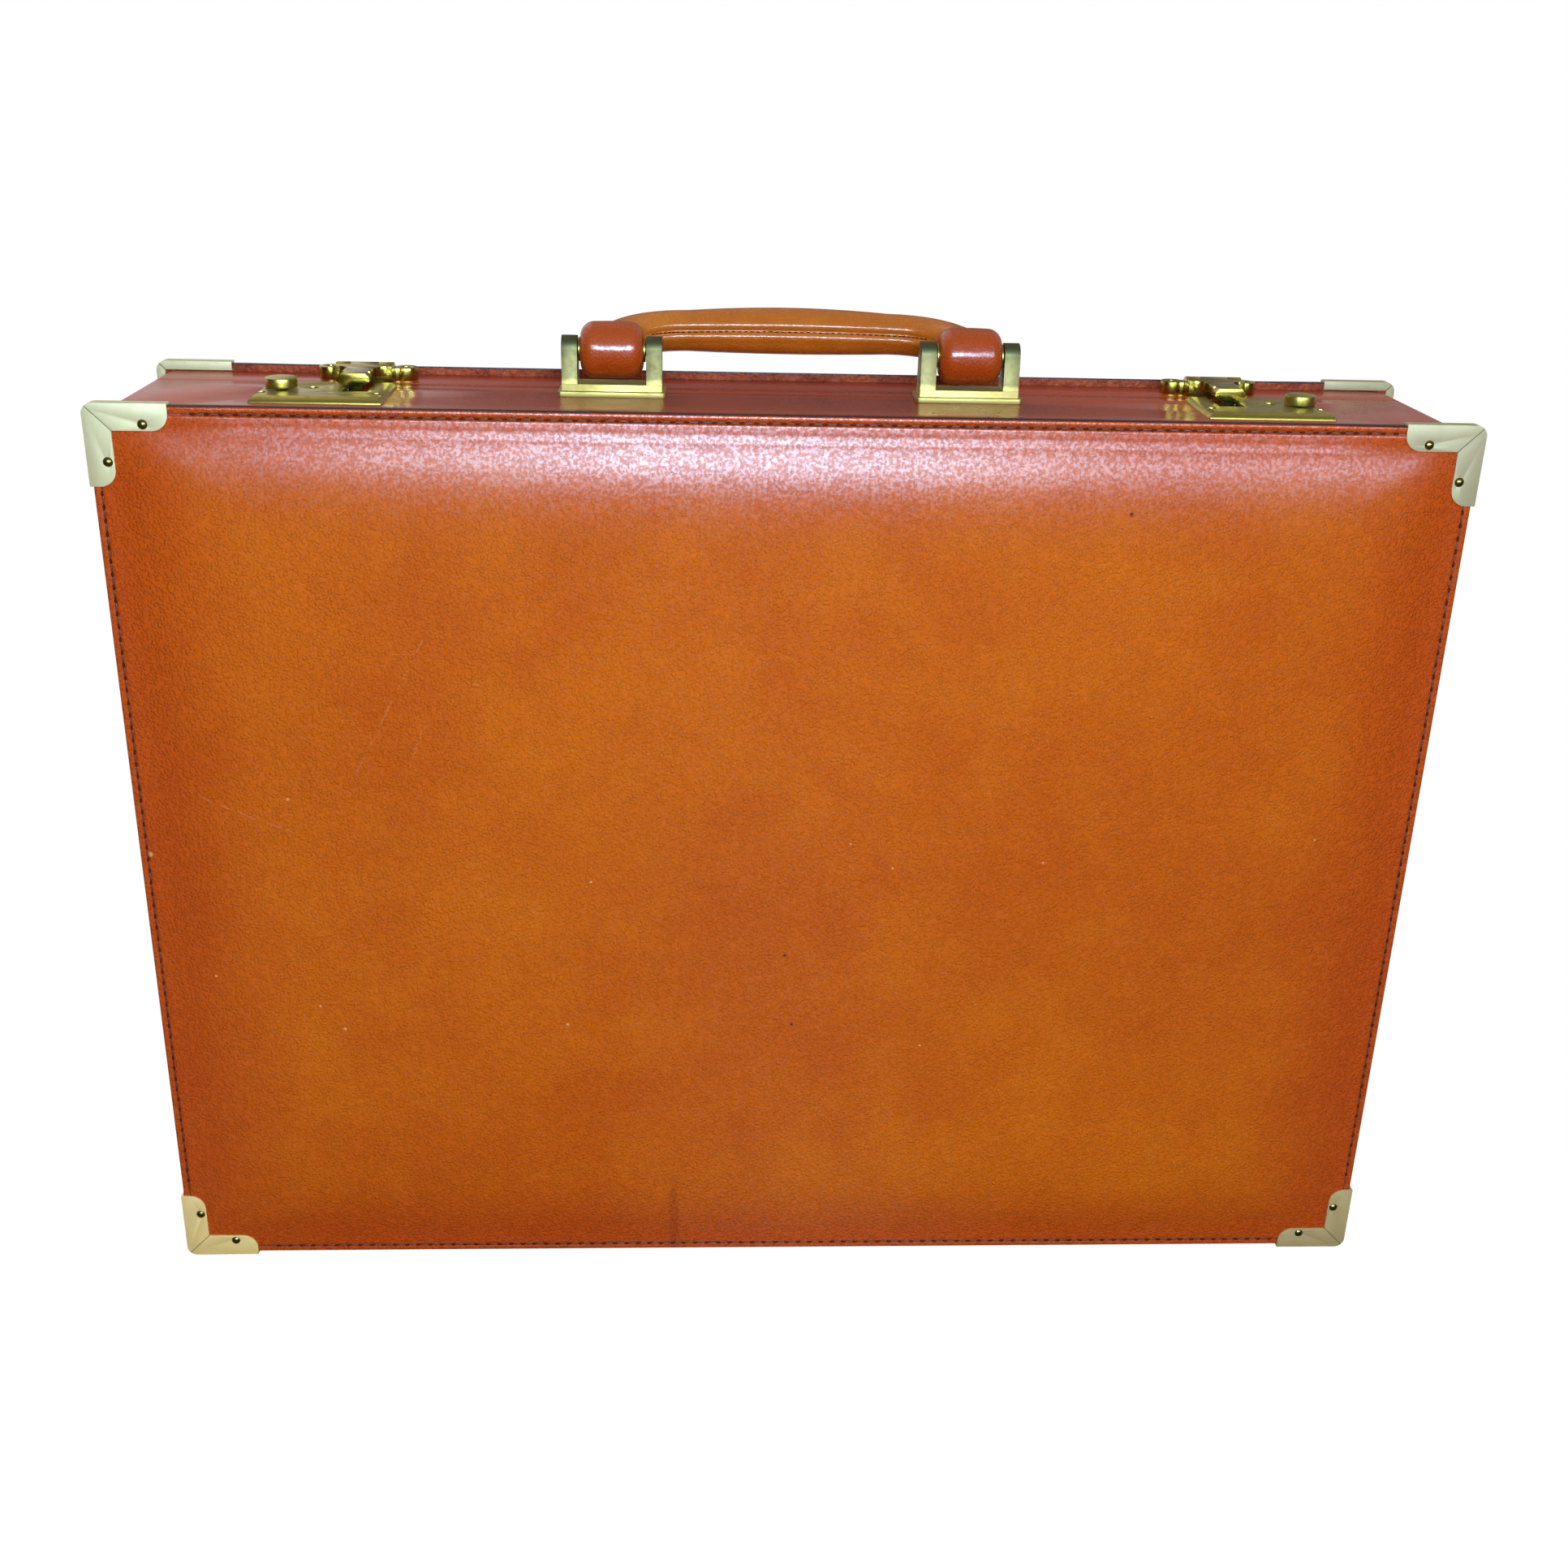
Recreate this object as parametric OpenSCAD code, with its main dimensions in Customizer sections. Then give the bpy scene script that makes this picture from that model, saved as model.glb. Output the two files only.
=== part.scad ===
// Leather attache case, standing on its hinge side.
// Millimetres. Origin: bottom centre of the closed case. +X is its width, +Y runs from the deep
// half (base) to the shallow half (lid), and +Z points up to the handle.

/* [Case] */
// Width over the leather edges
case_w = 450; // [380:1:500]
// Height over the leather edges
case_h = 323.8; // [280:0.1:380]
// Depth from one leather edge face to the other
case_d = 86; // [80:0.5:130]
// Depth of the base, from its edge face to the seam
base_d = 63; // [55:0.5:90]
// Gap between base and lid at the seam
seam_gap = 0.6; // [0.4:0.1:1]

/* [Leather panels] */
// Thickness of the stitched leather edge
edge_t = 3; // [2:0.1:4]
// Distance that the stitched edge stands out past the side walls
edge_over = 2.7; // [2:0.1:5]
// Corner radius of the stitched edge
edge_r = 3; // [2.6:0.1:6]
// Width of the flat border round the crowned field
border_w = 8.5; // [8.5:0.1:14]
// Height of the crown
crown_h = 5; // [3:0.1:8]
// Distance over which the crown rises
crown_fall = 40; // [25:1:70]
// Corner radius of the crowned field where it starts
crown_r = 7; // [3:0.5:20]
// Fullness of the crown's curve, from a straight slope up
crown_full = 2.6; // [1:0.1:4]
// Thickness of the leather over the padding
skin_t = 1.6; // [1:0.1:2.5]

/* [Walls] */
// Thickness of the leather on the side walls
wall_skin_t = 1.5; // [1:0.1:2.5]
// Corner radius of the side walls
wall_r = 3; // [2:0.1:5]
// Thickness of the wall boards
board_t = 6; // [5:0.1:9]
// Thickness of the panel boards
panel_board_t = 4; // [3:0.1:6]
// Glued gap between boards and between strips of the rim
glue_gap = 0.1; // [0.05:0.05:0.3]
// Thickness of the lining
lining_t = 1; // [0.6:0.1:1.6]
// Thickness of the leather turned over the edges of the boards
turn_t = 0.8; // [0.5:0.1:1.5]

/* [Inner rim] */
// Thickness of the rim strip
rim_t = 2.5; // [2:0.1:4]
// Distance from the part of the rim past the seam to the lid's lining
rim_play = 0.5; // [0.4:0.1:1]
// Length of the rim inside the base
rim_seat = 7; // [4:0.5:7]
// Height of the rim past the base's edge
rim_up = 4.8; // [2:0.1:5]
// Distance from the bottom lining to the ends of the rim
rim_end = 9; // [4:1:40]

/* [Brass corners] */
// Length of a leg
corner_len = 26; // [20:0.5:40]
// Width of a leg on the panel
corner_wid = 8; // [7:0.1:8.4]
// Thickness of the sheet
corner_t = 0.7; // [0.4:0.1:1]
// Width of the part turned in behind the leather edge
corner_back = 2.4; // [1.5:0.1:2.5]
// Radius at the free end of a leg
corner_end_r = 5.5; // [2:0.1:7]
// Distance of a nail from the corner along the leg
nail_at = 18; // [10:0.5:19]
// Distance of a nail from the leather edge
nail_in = 5.9; // [4:0.1:6]
// Head radius of a nail
nail_r = 1.6; // [1:0.1:1.8]
// Head height of a nail
nail_h = 0.9; // [0.5:0.1:1.5]
// Shank radius of a nail
nail_shank_r = 0.6; // [0.4:0.1:0.9]
// Shank length of a nail
nail_len = 5; // [3:0.5:6]

/* [Latches] */
// Distance from the side of the case to the middle of a lock plate
lock_in = 65.2; // [50:0.1:85]
// Distance from the middle of a lock plate to the seam
lock_back = 24; // [22:0.5:28]
// Distance by which both latches sit to the right of their even places
latch_shift = 2; // [-3:0.5:3]
// Width of a lock plate
lock_w = 44.4; // [44:0.1:55]
// Depth of a lock plate
lock_l = 33.5; // [31:0.5:36]
// Height of a lock plate
lock_h = 2; // [1.6:0.1:3]
// Sheet thickness of a lock plate
lock_sheet = 0.8; // [0.5:0.1:1]
// Distance from the ends of a lock plate to the hollow under it
lock_hollow_in = 1.6; // [1:0.1:3]
// Radius of its rolled edge
lock_roll = 3.4; // [2.5:0.1:4]
// Corner radius of a lock plate
lock_r = 1.8; // [1:0.1:4]
// Inward distance from the middle of the plate to the hasp
hasp_off = 9.2; // [7:0.1:10]
// Width of the slot for the neck of the hasp
slot_w = 8.6; // [8.2:0.1:9.5]
// Length of that slot
slot_l = 22; // [21:0.1:23]
// Inward distance from the middle of the plate to the middle of the slot
slot_off = 10.8; // [10:0.1:11]
// Outward distance from the middle of the plate to the button
button_off = 14; // [12:0.1:14]
// Radius of the button
button_r = 5.3; // [4.5:0.1:5.8]
// Height of the button's disc
button_h = 3.3; // [2:0.1:5]
// Gap under the button's disc
button_gap = 0.4; // [0.4:0.1:1]
// Radius of the button's stem
stem_r = 2; // [1.5:0.1:2.2]
// Travel of the button
button_travel = 3; // [2:0.1:3]
// Outward distance from the middle of the plate to the keyhole
key_off = 4; // [3:0.1:6]
// Distance of the keyhole behind the middle of the plate
key_back = 2; // [0:0.1:3]
// Depth of the bolt across the wall
bolt_w = 14; // [12:0.5:14]
// Length of the bolt past the button's stem
bolt_past = 1; // [0.5:0.1:1.5]
// Gap over and under the bolt
bolt_gap = 0.1; // [0.05:0.05:0.2]
// Radius of the keyhole
key_r = 2; // [1.5:0.1:2.5]
// Radius of the post in the keyhole
key_post_r = 0.7; // [0.5:0.1:1]
// Distance from the plate's middle to its screws across the case
lock_screw_x = 19; // [17:0.1:20]
// Distance from the plate's middle to its screws along the depth
lock_screw_y = 8; // [7.6:0.1:12]
// Head radius of the small screws
screw_r = 1.5; // [1:0.1:1.8]
// Thread radius of the small screws
screw_shank_r = 0.8; // [0.5:0.1:1]
// Length of the small screws under the head
screw_len = 6; // [4:0.5:7]
// Depth of a lock case under the leather surface
case_sink = 6.8; // [5:0.1:7]
// Width of a lock case
lock_case_w = 35.6; // [34:0.1:35.6]
// Depth of a lock case across the wall
lock_case_l = 15.2; // [15:0.1:16]
// Distance of the middle of the lock case behind the middle of the plate
case_back = 2; // [1.8:0.1:2.2]
// Wall thickness of a lock case
lock_case_t = 0.8; // [0.6:0.1:1.2]

/* [Hasps] */
// Distance of the hasp's hinge pin behind the seam
hasp_back = 4; // [3.8:0.1:5]
// Height of the hinge pin over the leather
hasp_up = 3.7; // [3.4:0.1:5]
// Radius of the hinge barrel
barrel_r = 3; // [2.5:0.1:3.2]
// Width of the hinge barrel
barrel_w = 20; // [18:0.5:24]
// Width of the middle knuckle, which turns
knuckle_w = 9.4; // [7:0.1:11]
// Radius of the hinge pin
hasp_pin_r = 1; // [0.8:0.1:1.4]
// Radial running clearance of the pins
pin_fit = 0.05; // [0.02:0.01:0.1]
// Gap between knuckles and beside moving parts
side_gap = 0.3; // [0.3:0.05:0.6]
// Width of the nose
nose_w = 10.5; // [8:0.1:11]
// Depth of the nose
nose_l = 6; // [4:0.1:7]
// Height of the nose
nose_h = 3.9; // [3:0.1:5]
// Distance from the hinge pin to the front of the nose
nose_reach = 23.5; // [22:0.1:25]
// Height of the underside of the nose over the leather
nose_z = 2.5; // [2.4:0.1:3]
// Size of the bevels on the nose
nose_bevel = 1.3; // [0.5:0.1:1.6]
// Width of the neck under the nose
neck_w = 3.6; // [3:0.1:5]
// Depth of the neck
neck_l = 3; // [2:0.1:4]
// Height of the end of the neck over the leather
neck_z = 0.4; // [0.3:0.1:0.8]
// Thickness of the arm
arm_t = 2.9; // [2:0.1:3.2]
// Depth of the wide bar in front of the barrel
bar_l = 3; // [2:0.1:3.6]
// Radius of the hollows where the wide bar runs into the arm
flank_r = 3.6; // [2:0.1:4]
// Height of the wide bar over the hinge pin
bar_up = 2.4; // [1.5:0.1:3]
// Width of the arm behind the nose
arm_w = 9.4; // [7:0.1:10.5]
// Radius of the round ears of the mount
ear_r = 4; // [3:0.1:4]
// Height of the ears
ear_h = 4.3; // [2:0.1:4.5]
// Distance from the hasp's middle to the middle of an ear
ear_off = 13.2; // [12:0.1:15]
// Distance from the hinge pin to the middle of an ear
ear_back = 5.6; // [4:0.1:7]
// Thickness of the mount's foot plate
mount_t = 1.2; // [0.8:0.1:1.6]
// Width of the webs between the barrel and the ears
web_w = 4; // [3:0.1:5]
// Rise of the arm's underside over the underside of the nose
arm_rise = 0.4; // [0:0.1:0.8]
// Length by which the arm and the neck run into the nose
nose_joint = 1; // [0.5:0.1:1.5]

/* [Handle] */
// Distance between the middles of the two brackets
bracket_span = 123; // [100:1:140]
// Distance of the handle's pins in front of the seam
pin_front = 13; // [13:0.5:30]
// Height of the handle's pins over the leather
pin_up = 15; // [13:0.1:20]
// Radius of the handle's pins
handle_pin_r = 2; // [1.5:0.1:3]
// Gap between the two legs of a bracket
leg_gap = 23.4; // [20:0.1:28]
// Thickness of a leg
leg_t = 5.4; // [3:0.1:7]
// Radius of the top of a leg round the pin
leg_r = 4.7; // [4:0.1:6]
// Depth of a leg at its foot
leg_foot = 10.8; // [9.6:0.1:13]
// Height of the bar that joins the legs
bridge_h = 2.3; // [1.5:0.1:4]
// Width that the foot plate stands out past the legs
foot_out = 1.2; // [0:0.1:3]
// Depth of the foot plate
foot_l = 14.6; // [11:0.1:18]
// Thickness of the foot plate
foot_t = 1.7; // [1:0.1:3]
// Corner radius of the foot plate
foot_r = 1.2; // [0.5:0.1:3]
// Distance of the studs from the middle of a bracket
stud_off = 8; // [5:0.5:9]
// Radius of the studs under a bracket
stud_r = 1.9; // [1.5:0.1:2.4]
// Radial clearance of bolts, cores and linked holes
hole_fit = 0.1; // [0.05:0.01:0.2]
// Thickness of the backing plates
backing_t = 1.2; // [0.8:0.1:2]
// Width of a backing plate past the nuts
backing_edge = 1.5; // [0.5:0.1:2]
// Corner radius of the backing plates
backing_r = 2; // [0.5:0.1:3]
// Radius of the cap nuts
nut_r = 3.4; // [2.8:0.1:4]
// Height of the cap nuts
nut_h = 3; // [2.4:0.1:4]
// Thickness of the closed end of a nut
nut_cap = 0.6; // [0.4:0.1:1]
// Height of the round end of a nut
nut_end_h = 1; // [0.5:0.1:1.5]
// Radius of the round end of a nut
nut_end_r = 2.5; // [2.1:0.1:2.8]
// Width of the leather barrel on a pin
grip_end_w = 21.6; // [16:0.1:24]
// Radius of the leather barrel
grip_end_r = 9.2; // [7:0.1:10]
// Rounding of the leather barrel's ends
grip_end_round = 4.6; // [1:0.1:5]
// Radius of the grip at its thin ends
grip_thin_r = 7.1; // [5:0.1:8]
// Radius of the grip in the middle
grip_mid_r = 8.1; // [7.5:0.1:9]
// Length of the plain stretch at each end of the straight grip
grip_plain = 3; // [2:0.5:10]
// Distance of the grip from the pins
grip_reach = 26; // [22:0.5:34]
// Radius of the bends between barrels and grip
grip_bend = 23; // [16:0.5:26]
// Angle of the resting handle above the horizontal
handle_tilt = 5.5; // [0:0.5:20]
// Thickness of the washers beside the handle
washer_t = 0.6; // [0.5:0.1:1]
// Radius of the washers
washer_r = 4; // [3:0.1:5]
// Radius of the steel core
core_r = 2.2; // [1.5:0.1:3]
// Radius of the eyes of the core
eye_r = 4.6; // [4:0.1:5.5]
// Width of the eyes of the core
eye_w = 12; // [8:0.5:15]

/* [Hinge] */
// Radius of the hinge knuckles
hinge_r = 1.2; // [1:0.05:1.3]
// Radius of the hinge pin
hinge_pin_r = 0.6; // [0.4:0.05:0.7]
// Distance from the leather down to the hinge pin
hinge_drop = 1.5; // [1.3:0.05:1.6]
// Thickness of a hinge leaf
leaf_t = 0.8; // [0.6:0.05:1]
// Width of a hinge leaf
leaf_w = 10.4; // [8:0.1:14]
// Distance from the side walls to the ends of the hinge
hinge_in = 14; // [8:1:40]
// Number of knuckles, which is odd
knuckles = 21; // [15:2:31]
// Distance of the leaf from the pin between its own knuckles
leaf_off = 1.6; // [1.5:0.05:2]
// Number of rivets in a leaf
rivets = 8; // [4:1:12]
// Head radius of a rivet
rivet_r = 1.6; // [1:0.1:2]
// Head height of a rivet
rivet_h = 0.6; // [0.4:0.1:0.8]
// Depth of the rivets in the wall boards
rivet_sink = 5; // [2:0.5:5]

/* [Lid stays] */
// Height of the base pivot over the lid hinge
stay_base_z = 58; // [40:1:80]
// Distance of the base pivot in front of the lid hinge
stay_base_y = 20; // [15:0.5:26]
// Height of the lid pivot over the lid hinge
stay_lid_z = 120; // [80:1:150]
// Distance of the lid pivot behind the lid hinge
stay_lid_y = 9.6; // [9:0.1:10]
// Thickness of a link
link_t = 1.5; // [1:0.1:1.8]
// Width of a link
link_w = 9; // [7:0.5:11]
// Gap between layers of links
link_gap = 0.5; // [0.3:0.1:0.8]
// Radius of the pivots
pivot_r = 2; // [1.5:0.1:2.5]
// Radius of the pivot heads
pivot_head_r = 3.4; // [3:0.1:4]
// Height of the pivot heads
pivot_head_h = 0.9; // [0.6:0.1:1.2]
// Radius of the collar that holds a link off the lining
collar_r = 3.8; // [3:0.1:4.4]
// Clearance of the elbow's hole round its pin
elbow_play = 0.35; // [0.3:0.05:0.5]
// Length of a stud in the wall board
stud_sink = 4; // [2:0.1:5]

/* [Lid folder] */
// Distance from the side linings to the folder
folder_side = 22; // [16:1:50]
// Distance from the top and bottom linings to the folder
folder_ends = 14.7; // [8:0.1:50]
// Thickness of the folder's back sheet
folder_t = 1.4; // [0.8:0.1:2]
// Height of the pocket
pocket_h = 168; // [100:1:200]
// Thickness of the pocket
pocket_t = 3; // [1.5:0.1:4]
// Distance from the folder's edges to the pocket
pocket_in = 6; // [2:0.5:20]
// Corner radius of the folder
folder_r = 8; // [2:0.5:20]
// Corner radius of the pocket
pocket_r = 5; // [2:0.5:12]
// Depth of the curve in the pocket's top edge
pocket_dip = 14; // [5:1:20]
// Number of pen loops
pen_loops_n = 3; // [1:1:4]
// Radius inside a pen loop
pen_r = 2.4; // [2:0.1:2.6]
// Thickness of the leather of a pen loop
pen_loop_t = 0.8; // [0.5:0.1:1.2]
// Distance between pen loops
pen_pitch = 12; // [9:1:20]
// Distance from the top of the folder to the foot of the pen loops
pen_down = 52; // [40:1:60]
// Length of a pen loop
pen_loop_l = 22; // [12:1:30]

/* [Hidden] */
$fn = 48;
$side = 1;
eps = 0.01;
// How far a cutter reaches past what it cuts
cut = 1;
crown_steps = 8;

// Heights
edge_bottom = corner_t;
edge_top = edge_bottom + case_h;
mid_z = (edge_bottom + edge_top) / 2;
wall_bottom = edge_bottom + edge_over;
wall_top = edge_top - edge_over;

// Sizes of the box of side walls
wall_w = case_w - 2 * edge_over;
wall_h = case_h - 2 * edge_over;
board_w = wall_w - 2 * wall_skin_t;
board_h = wall_h - 2 * wall_skin_t;
wall_t = wall_skin_t + board_t + lining_t;
inner_w = wall_w - 2 * wall_t;
inner_h = wall_h - 2 * wall_t;
inner_top = mid_z + inner_h / 2;
inner_bottom = mid_z - inner_h / 2;

// Places along the depth
edge_face = case_d / 2;
edge_inner = edge_face - edge_t;
panel_inner = edge_inner - panel_board_t;
seam_y = base_d - edge_face;
base_end = seam_y - seam_gap / 2;
lid_start = seam_y + seam_gap / 2;

// Latches
lock_x = case_w / 2 - lock_in;
lock_y = seam_y - lock_back;
hasp_y = seam_y + hasp_back;
hasp_z = wall_top + hasp_up;
slot_end = lock_l / 2 + cut;
neck_y = hasp_back + lock_back - nose_reach + nose_l / 2;

// Handle
pin_y = seam_y - pin_front;
pin_z = wall_top + pin_up;
grip_half = bracket_span / 2 - grip_bend;
grip_lead = grip_reach - grip_bend;
grip_arch = grip_mid_r - grip_thin_r;
grip_swell = grip_half - grip_plain;
grip_arc_r = (grip_swell * grip_swell + grip_arch * grip_arch) / (2 * grip_arch);

// Hinge
hinge_y = seam_y;
hinge_z = wall_bottom - hinge_drop;
hinge_len = wall_w - 2 * hinge_in;
knuckle_l = hinge_len / knuckles;

// Stays
lower_link_x = inner_w / 2 - rim_t - link_gap - link_t;
upper_link_x = lower_link_x - link_gap - link_t;
stay_base = [hinge_y - stay_base_y, hinge_z + stay_base_z];
stay_lid = [hinge_y + stay_lid_y, hinge_z + stay_lid_z];
stay_elbow = stay_base + [stay_lid_y, stay_lid_z];

// Lid folder
folder_w = inner_w - 2 * folder_side;
folder_h = inner_h - 2 * folder_ends;

// Basic shapes

// Rectangle with round corners, centred
module round_rect(w, h, r) {
    square([w - 2 * r, h], center = true);
    square([w, h - 2 * r], center = true);
    for (x = [-1, 1], y = [-1, 1])
        translate([x * (w / 2 - r), y * (h / 2 - r)])
            circle(r);
}

// Stands a flat outline up in the XZ plane, from y0 to y1
module stand(y0, y1) {
    translate([0, y1, 0])
        rotate([90, 0, 0])
            linear_extrude(y1 - y0)
                children();
}

// Box from its lowest to its highest corner
module box(lo, hi) {
    translate(lo)
        cube(hi - lo);
}

// Outline of the case, moved in from the leather edge
module case_outline(inset, r) {
    translate([0, mid_z])
        round_rect(case_w - 2 * inset, case_h - 2 * inset, r);
}

// Round bar along X, centred on the YZ origin
module bar_x(r, len) {
    rotate([0, 90, 0])
        cylinder(r = r, h = len, center = true);
}

// Domed head of radius r and height h on the XY plane
module dome(r, h) {
    cap_r = (r * r + h * h) / (2 * h);
    intersection() {
        translate([0, 0, h - cap_r])
            sphere(cap_r);
        cylinder(r = r, h = h);
    }
}

// Mirrors a right-hand piece to the left. $side is 1 on the right and -1 on the left.
module left_side() {
    $side = -1;
    mirror([1, 0, 0])
        children();
}

module lid_side() {
    mirror([0, 1, 0])
        children();
}

module both_sides() {
    children();
    left_side() children();
}

// Places a latch part: X outwards from the lock's middle, Z up from the leather
module at_lock() {
    translate([lock_x + $side * latch_shift, lock_y, wall_top])
        children();
}

module at_hasp() {
    translate([lock_x + $side * latch_shift - hasp_off, hasp_y, hasp_z])
        children();
}

// Leather panels

// Crowned block: the field's outline rises and draws in along a smooth curve
module crown(inset, back, lower) {
    steps = crown_steps;
    hull() {
        stand(-edge_face, back)
            case_outline(border_w + inset, crown_r);
        for (i = [0 : steps]) {
            t = i / steps;
            rise = crown_h * (1 - pow(1 - t, crown_full)) - lower;
            draw_in = border_w + inset + crown_fall * t;
            if (rise > 0)
                stand(-edge_face - rise, -edge_face - rise + eps)
                    case_outline(draw_in, crown_r + crown_fall * t / 2);
        }
    }
}

module panel_padding() {
    color("wheat")
        crown(skin_t, -edge_inner, skin_t);
}

module panel_leather() {
    color([0.72, 0.36, 0.1])
        difference() {
            union() {
                stand(-edge_face, -edge_inner)
                    case_outline(0, edge_r);
                crown(0, -edge_face + eps, 0);
            }
            crown(skin_t, -edge_inner + eps, skin_t);
        }
}

// Walls

module panel_board() {
    color("burlywood")
        stand(-edge_inner, -panel_inner)
            translate([0, mid_z])
                square([board_w, board_h], center = true);
}

// Four wall boards, butted at the corners, from the panel board to y_end
module wall_boards(y_end) {
    for (z = [mid_z + board_h / 2 - board_t, mid_z - board_h / 2])
        box([-board_w / 2, -panel_inner, z], [board_w / 2, y_end, z + board_t]);
    for (x = [board_w / 2 - board_t, -board_w / 2])
        box([x, -panel_inner, mid_z - board_h / 2 + board_t + glue_gap],
            [x + board_t, y_end, mid_z + board_h / 2 - board_t - glue_gap]);
}

// Leather round the walls, turned over the edges of the boards at the seam
module wall_leather(y_end) {
    difference() {
        stand(-edge_inner, y_end)
            translate([0, mid_z])
                round_rect(wall_w, wall_h, wall_r);
        stand(-edge_inner - cut, y_end - turn_t)
            translate([0, mid_z])
                square([board_w, board_h], center = true);
        stand(-edge_inner - cut, y_end + cut)
            translate([0, mid_z])
                square([inner_w + 2 * lining_t, inner_h + 2 * lining_t], center = true);
    }
}

module lining(y_end) {
    difference() {
        stand(-panel_inner, y_end)
            translate([0, mid_z])
                square([inner_w + 2 * lining_t, inner_h + 2 * lining_t], center = true);
        stand(-panel_inner + lining_t, y_end + cut)
            translate([0, mid_z])
                square([inner_w, inner_h], center = true);
    }
}

// Room in the top wall for a lock case
module lock_case_space() {
    at_lock()
        box([-lock_case_w / 2 - hole_fit, case_back - lock_case_l / 2 - hole_fit,
             -case_sink - hole_fit],
            [lock_case_w / 2 + hole_fit, case_back + lock_case_l / 2 + hole_fit, cut]);
}

// Holes in the top wall for the studs of both brackets
module stud_holes() {
    for (s = [-1, 1], o = [-1, 1])
        translate([s * bracket_span / 2 + o * stud_off, pin_y, inner_top - backing_t - cut])
            cylinder(r = stud_r + hole_fit, h = wall_t + backing_t + 2 * cut);
}

module base_frame() {
    color("burlywood")
        difference() {
            wall_boards(base_end - turn_t);
            lock_case_space();
            left_side() lock_case_space();
            stud_holes();
        }
}

module base_wall_leather() {
    color([0.5, 0.2, 0.12])
        difference() {
            wall_leather(base_end);
            lock_case_space();
            left_side() lock_case_space();
            stud_holes();
        }
}

module base_lining() {
    color("tan")
        difference() {
            lining(base_end);
            stud_holes();
        }
}

module lid_frame() {
    color("burlywood")
        lid_side() wall_boards(-lid_start - turn_t);
}

module lid_wall_leather() {
    color([0.5, 0.2, 0.12])
        lid_side() wall_leather(-lid_start);
}

module lid_lining() {
    color("tan")
        lid_side() lining(-lid_start);
}

// Section of the rim strip: the lining side is at u = 0, the seam at v = 0
module rim_section() {
    square([rim_t, rim_seat]);
    translate([rim_play, rim_seat])
        square([rim_t - rim_play, rim_up]);
}

module base_rim() {
    color([0.45, 0.22, 0.1]) {
        for (s = [0, 1])
            mirror([s, 0, 0])
                translate([inner_w / 2, base_end - rim_seat, inner_bottom + rim_end])
                    linear_extrude(inner_h - rim_end - rim_t - glue_gap)
                        mirror([1, 0])
                            rim_section();
        translate([-inner_w / 2 + rim_play, base_end - rim_seat, inner_top])
            rotate([0, 90, 0])
                linear_extrude(inner_w - 2 * rim_play)
                    rim_section();
    }
}

// Brass corners

// Outline of one leg along X with a round free end
module corner_leg() {
    translate([-corner_t, -corner_t]) {
        square([corner_len - corner_end_r + corner_t, corner_wid + corner_t]);
        square([corner_len + corner_t, corner_wid - corner_end_r + corner_t]);
    }
    translate([corner_len - corner_end_r, corner_wid - corner_end_r])
        circle(corner_end_r);
}

module both_legs() {
    children();
    mirror([1, -1])
        children();
}

// Rounded field whose corner lies at the leather corner, moved out by out
module corner_field(out) {
    field = 4 * corner_len;
    translate([field / 2, field / 2])
        round_rect(field + 2 * out, field + 2 * out, edge_r + out);
}

// Strip along both edges, from the moved out leather edge in to inset
module corner_strip(inset) {
    intersection() {
        difference() {
            corner_field(corner_t);
            corner_field(-inset);
        }
        both_legs()
            translate([-corner_t, -corner_t])
                square([corner_len + corner_t, 2 * corner_wid]);
    }
}

// One corner on the front face at the top right
module corner_cap() {
    color([0.86, 0.78, 0.55])
        translate([case_w / 2, -edge_face - corner_t, edge_top])
            mirror([1, 0, 0])
                rotate([-90, 0, 0])
                    difference() {
                        union() {
                            linear_extrude(corner_t)
                                intersection() {
                                    corner_field(corner_t);
                                    both_legs() corner_leg();
                                }
                            linear_extrude(edge_t + 2 * corner_t)
                                corner_strip(0);
                            translate([0, 0, edge_t + corner_t])
                                linear_extrude(corner_t)
                                    corner_strip(corner_back);
                        }
                        both_legs()
                            translate([nail_at, nail_in, -cut])
                                cylinder(r = nail_shank_r, h = corner_t + 2 * cut);
                    }
}

// Puts a top right piece at the chosen corner
module at_corner(right, top) {
    mirror([right ? 0 : 1, 0, 0])
        translate([0, 0, mid_z])
            mirror([0, 0, top ? 0 : 1])
                translate([0, 0, -mid_z])
                    children();
}

module corner_nails() {
    color([0.7, 0.55, 0.25])
        for (right = [false, true], top = [false, true], leg = [0, 1])
            at_corner(right, top)
                translate([case_w / 2 - (leg == 0 ? nail_at : nail_in), -edge_face - corner_t,
                           edge_top - (leg == 0 ? nail_in : nail_at)])
                    rotate([90, 0, 0]) {
                        dome(nail_r, nail_h);
                        translate([0, 0, -nail_len])
                            cylinder(r = nail_shank_r, h = nail_len);
                    }
}

// Latches on the base

// Section of the plate with rolled edges, standing on v = 0
module rolled_section(w) {
    intersection() {
        union() {
            translate([-w / 2 + lock_roll, lock_h - 2 * lock_roll])
                square([w - 2 * lock_roll, 2 * lock_roll]);
            for (s = [-1, 1])
                translate([s * (w / 2 - lock_roll), lock_h - lock_roll])
                    circle(lock_roll, $fn = 96);
        }
        translate([-w / 2, 0])
            square([w, lock_h]);
    }
}

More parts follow.
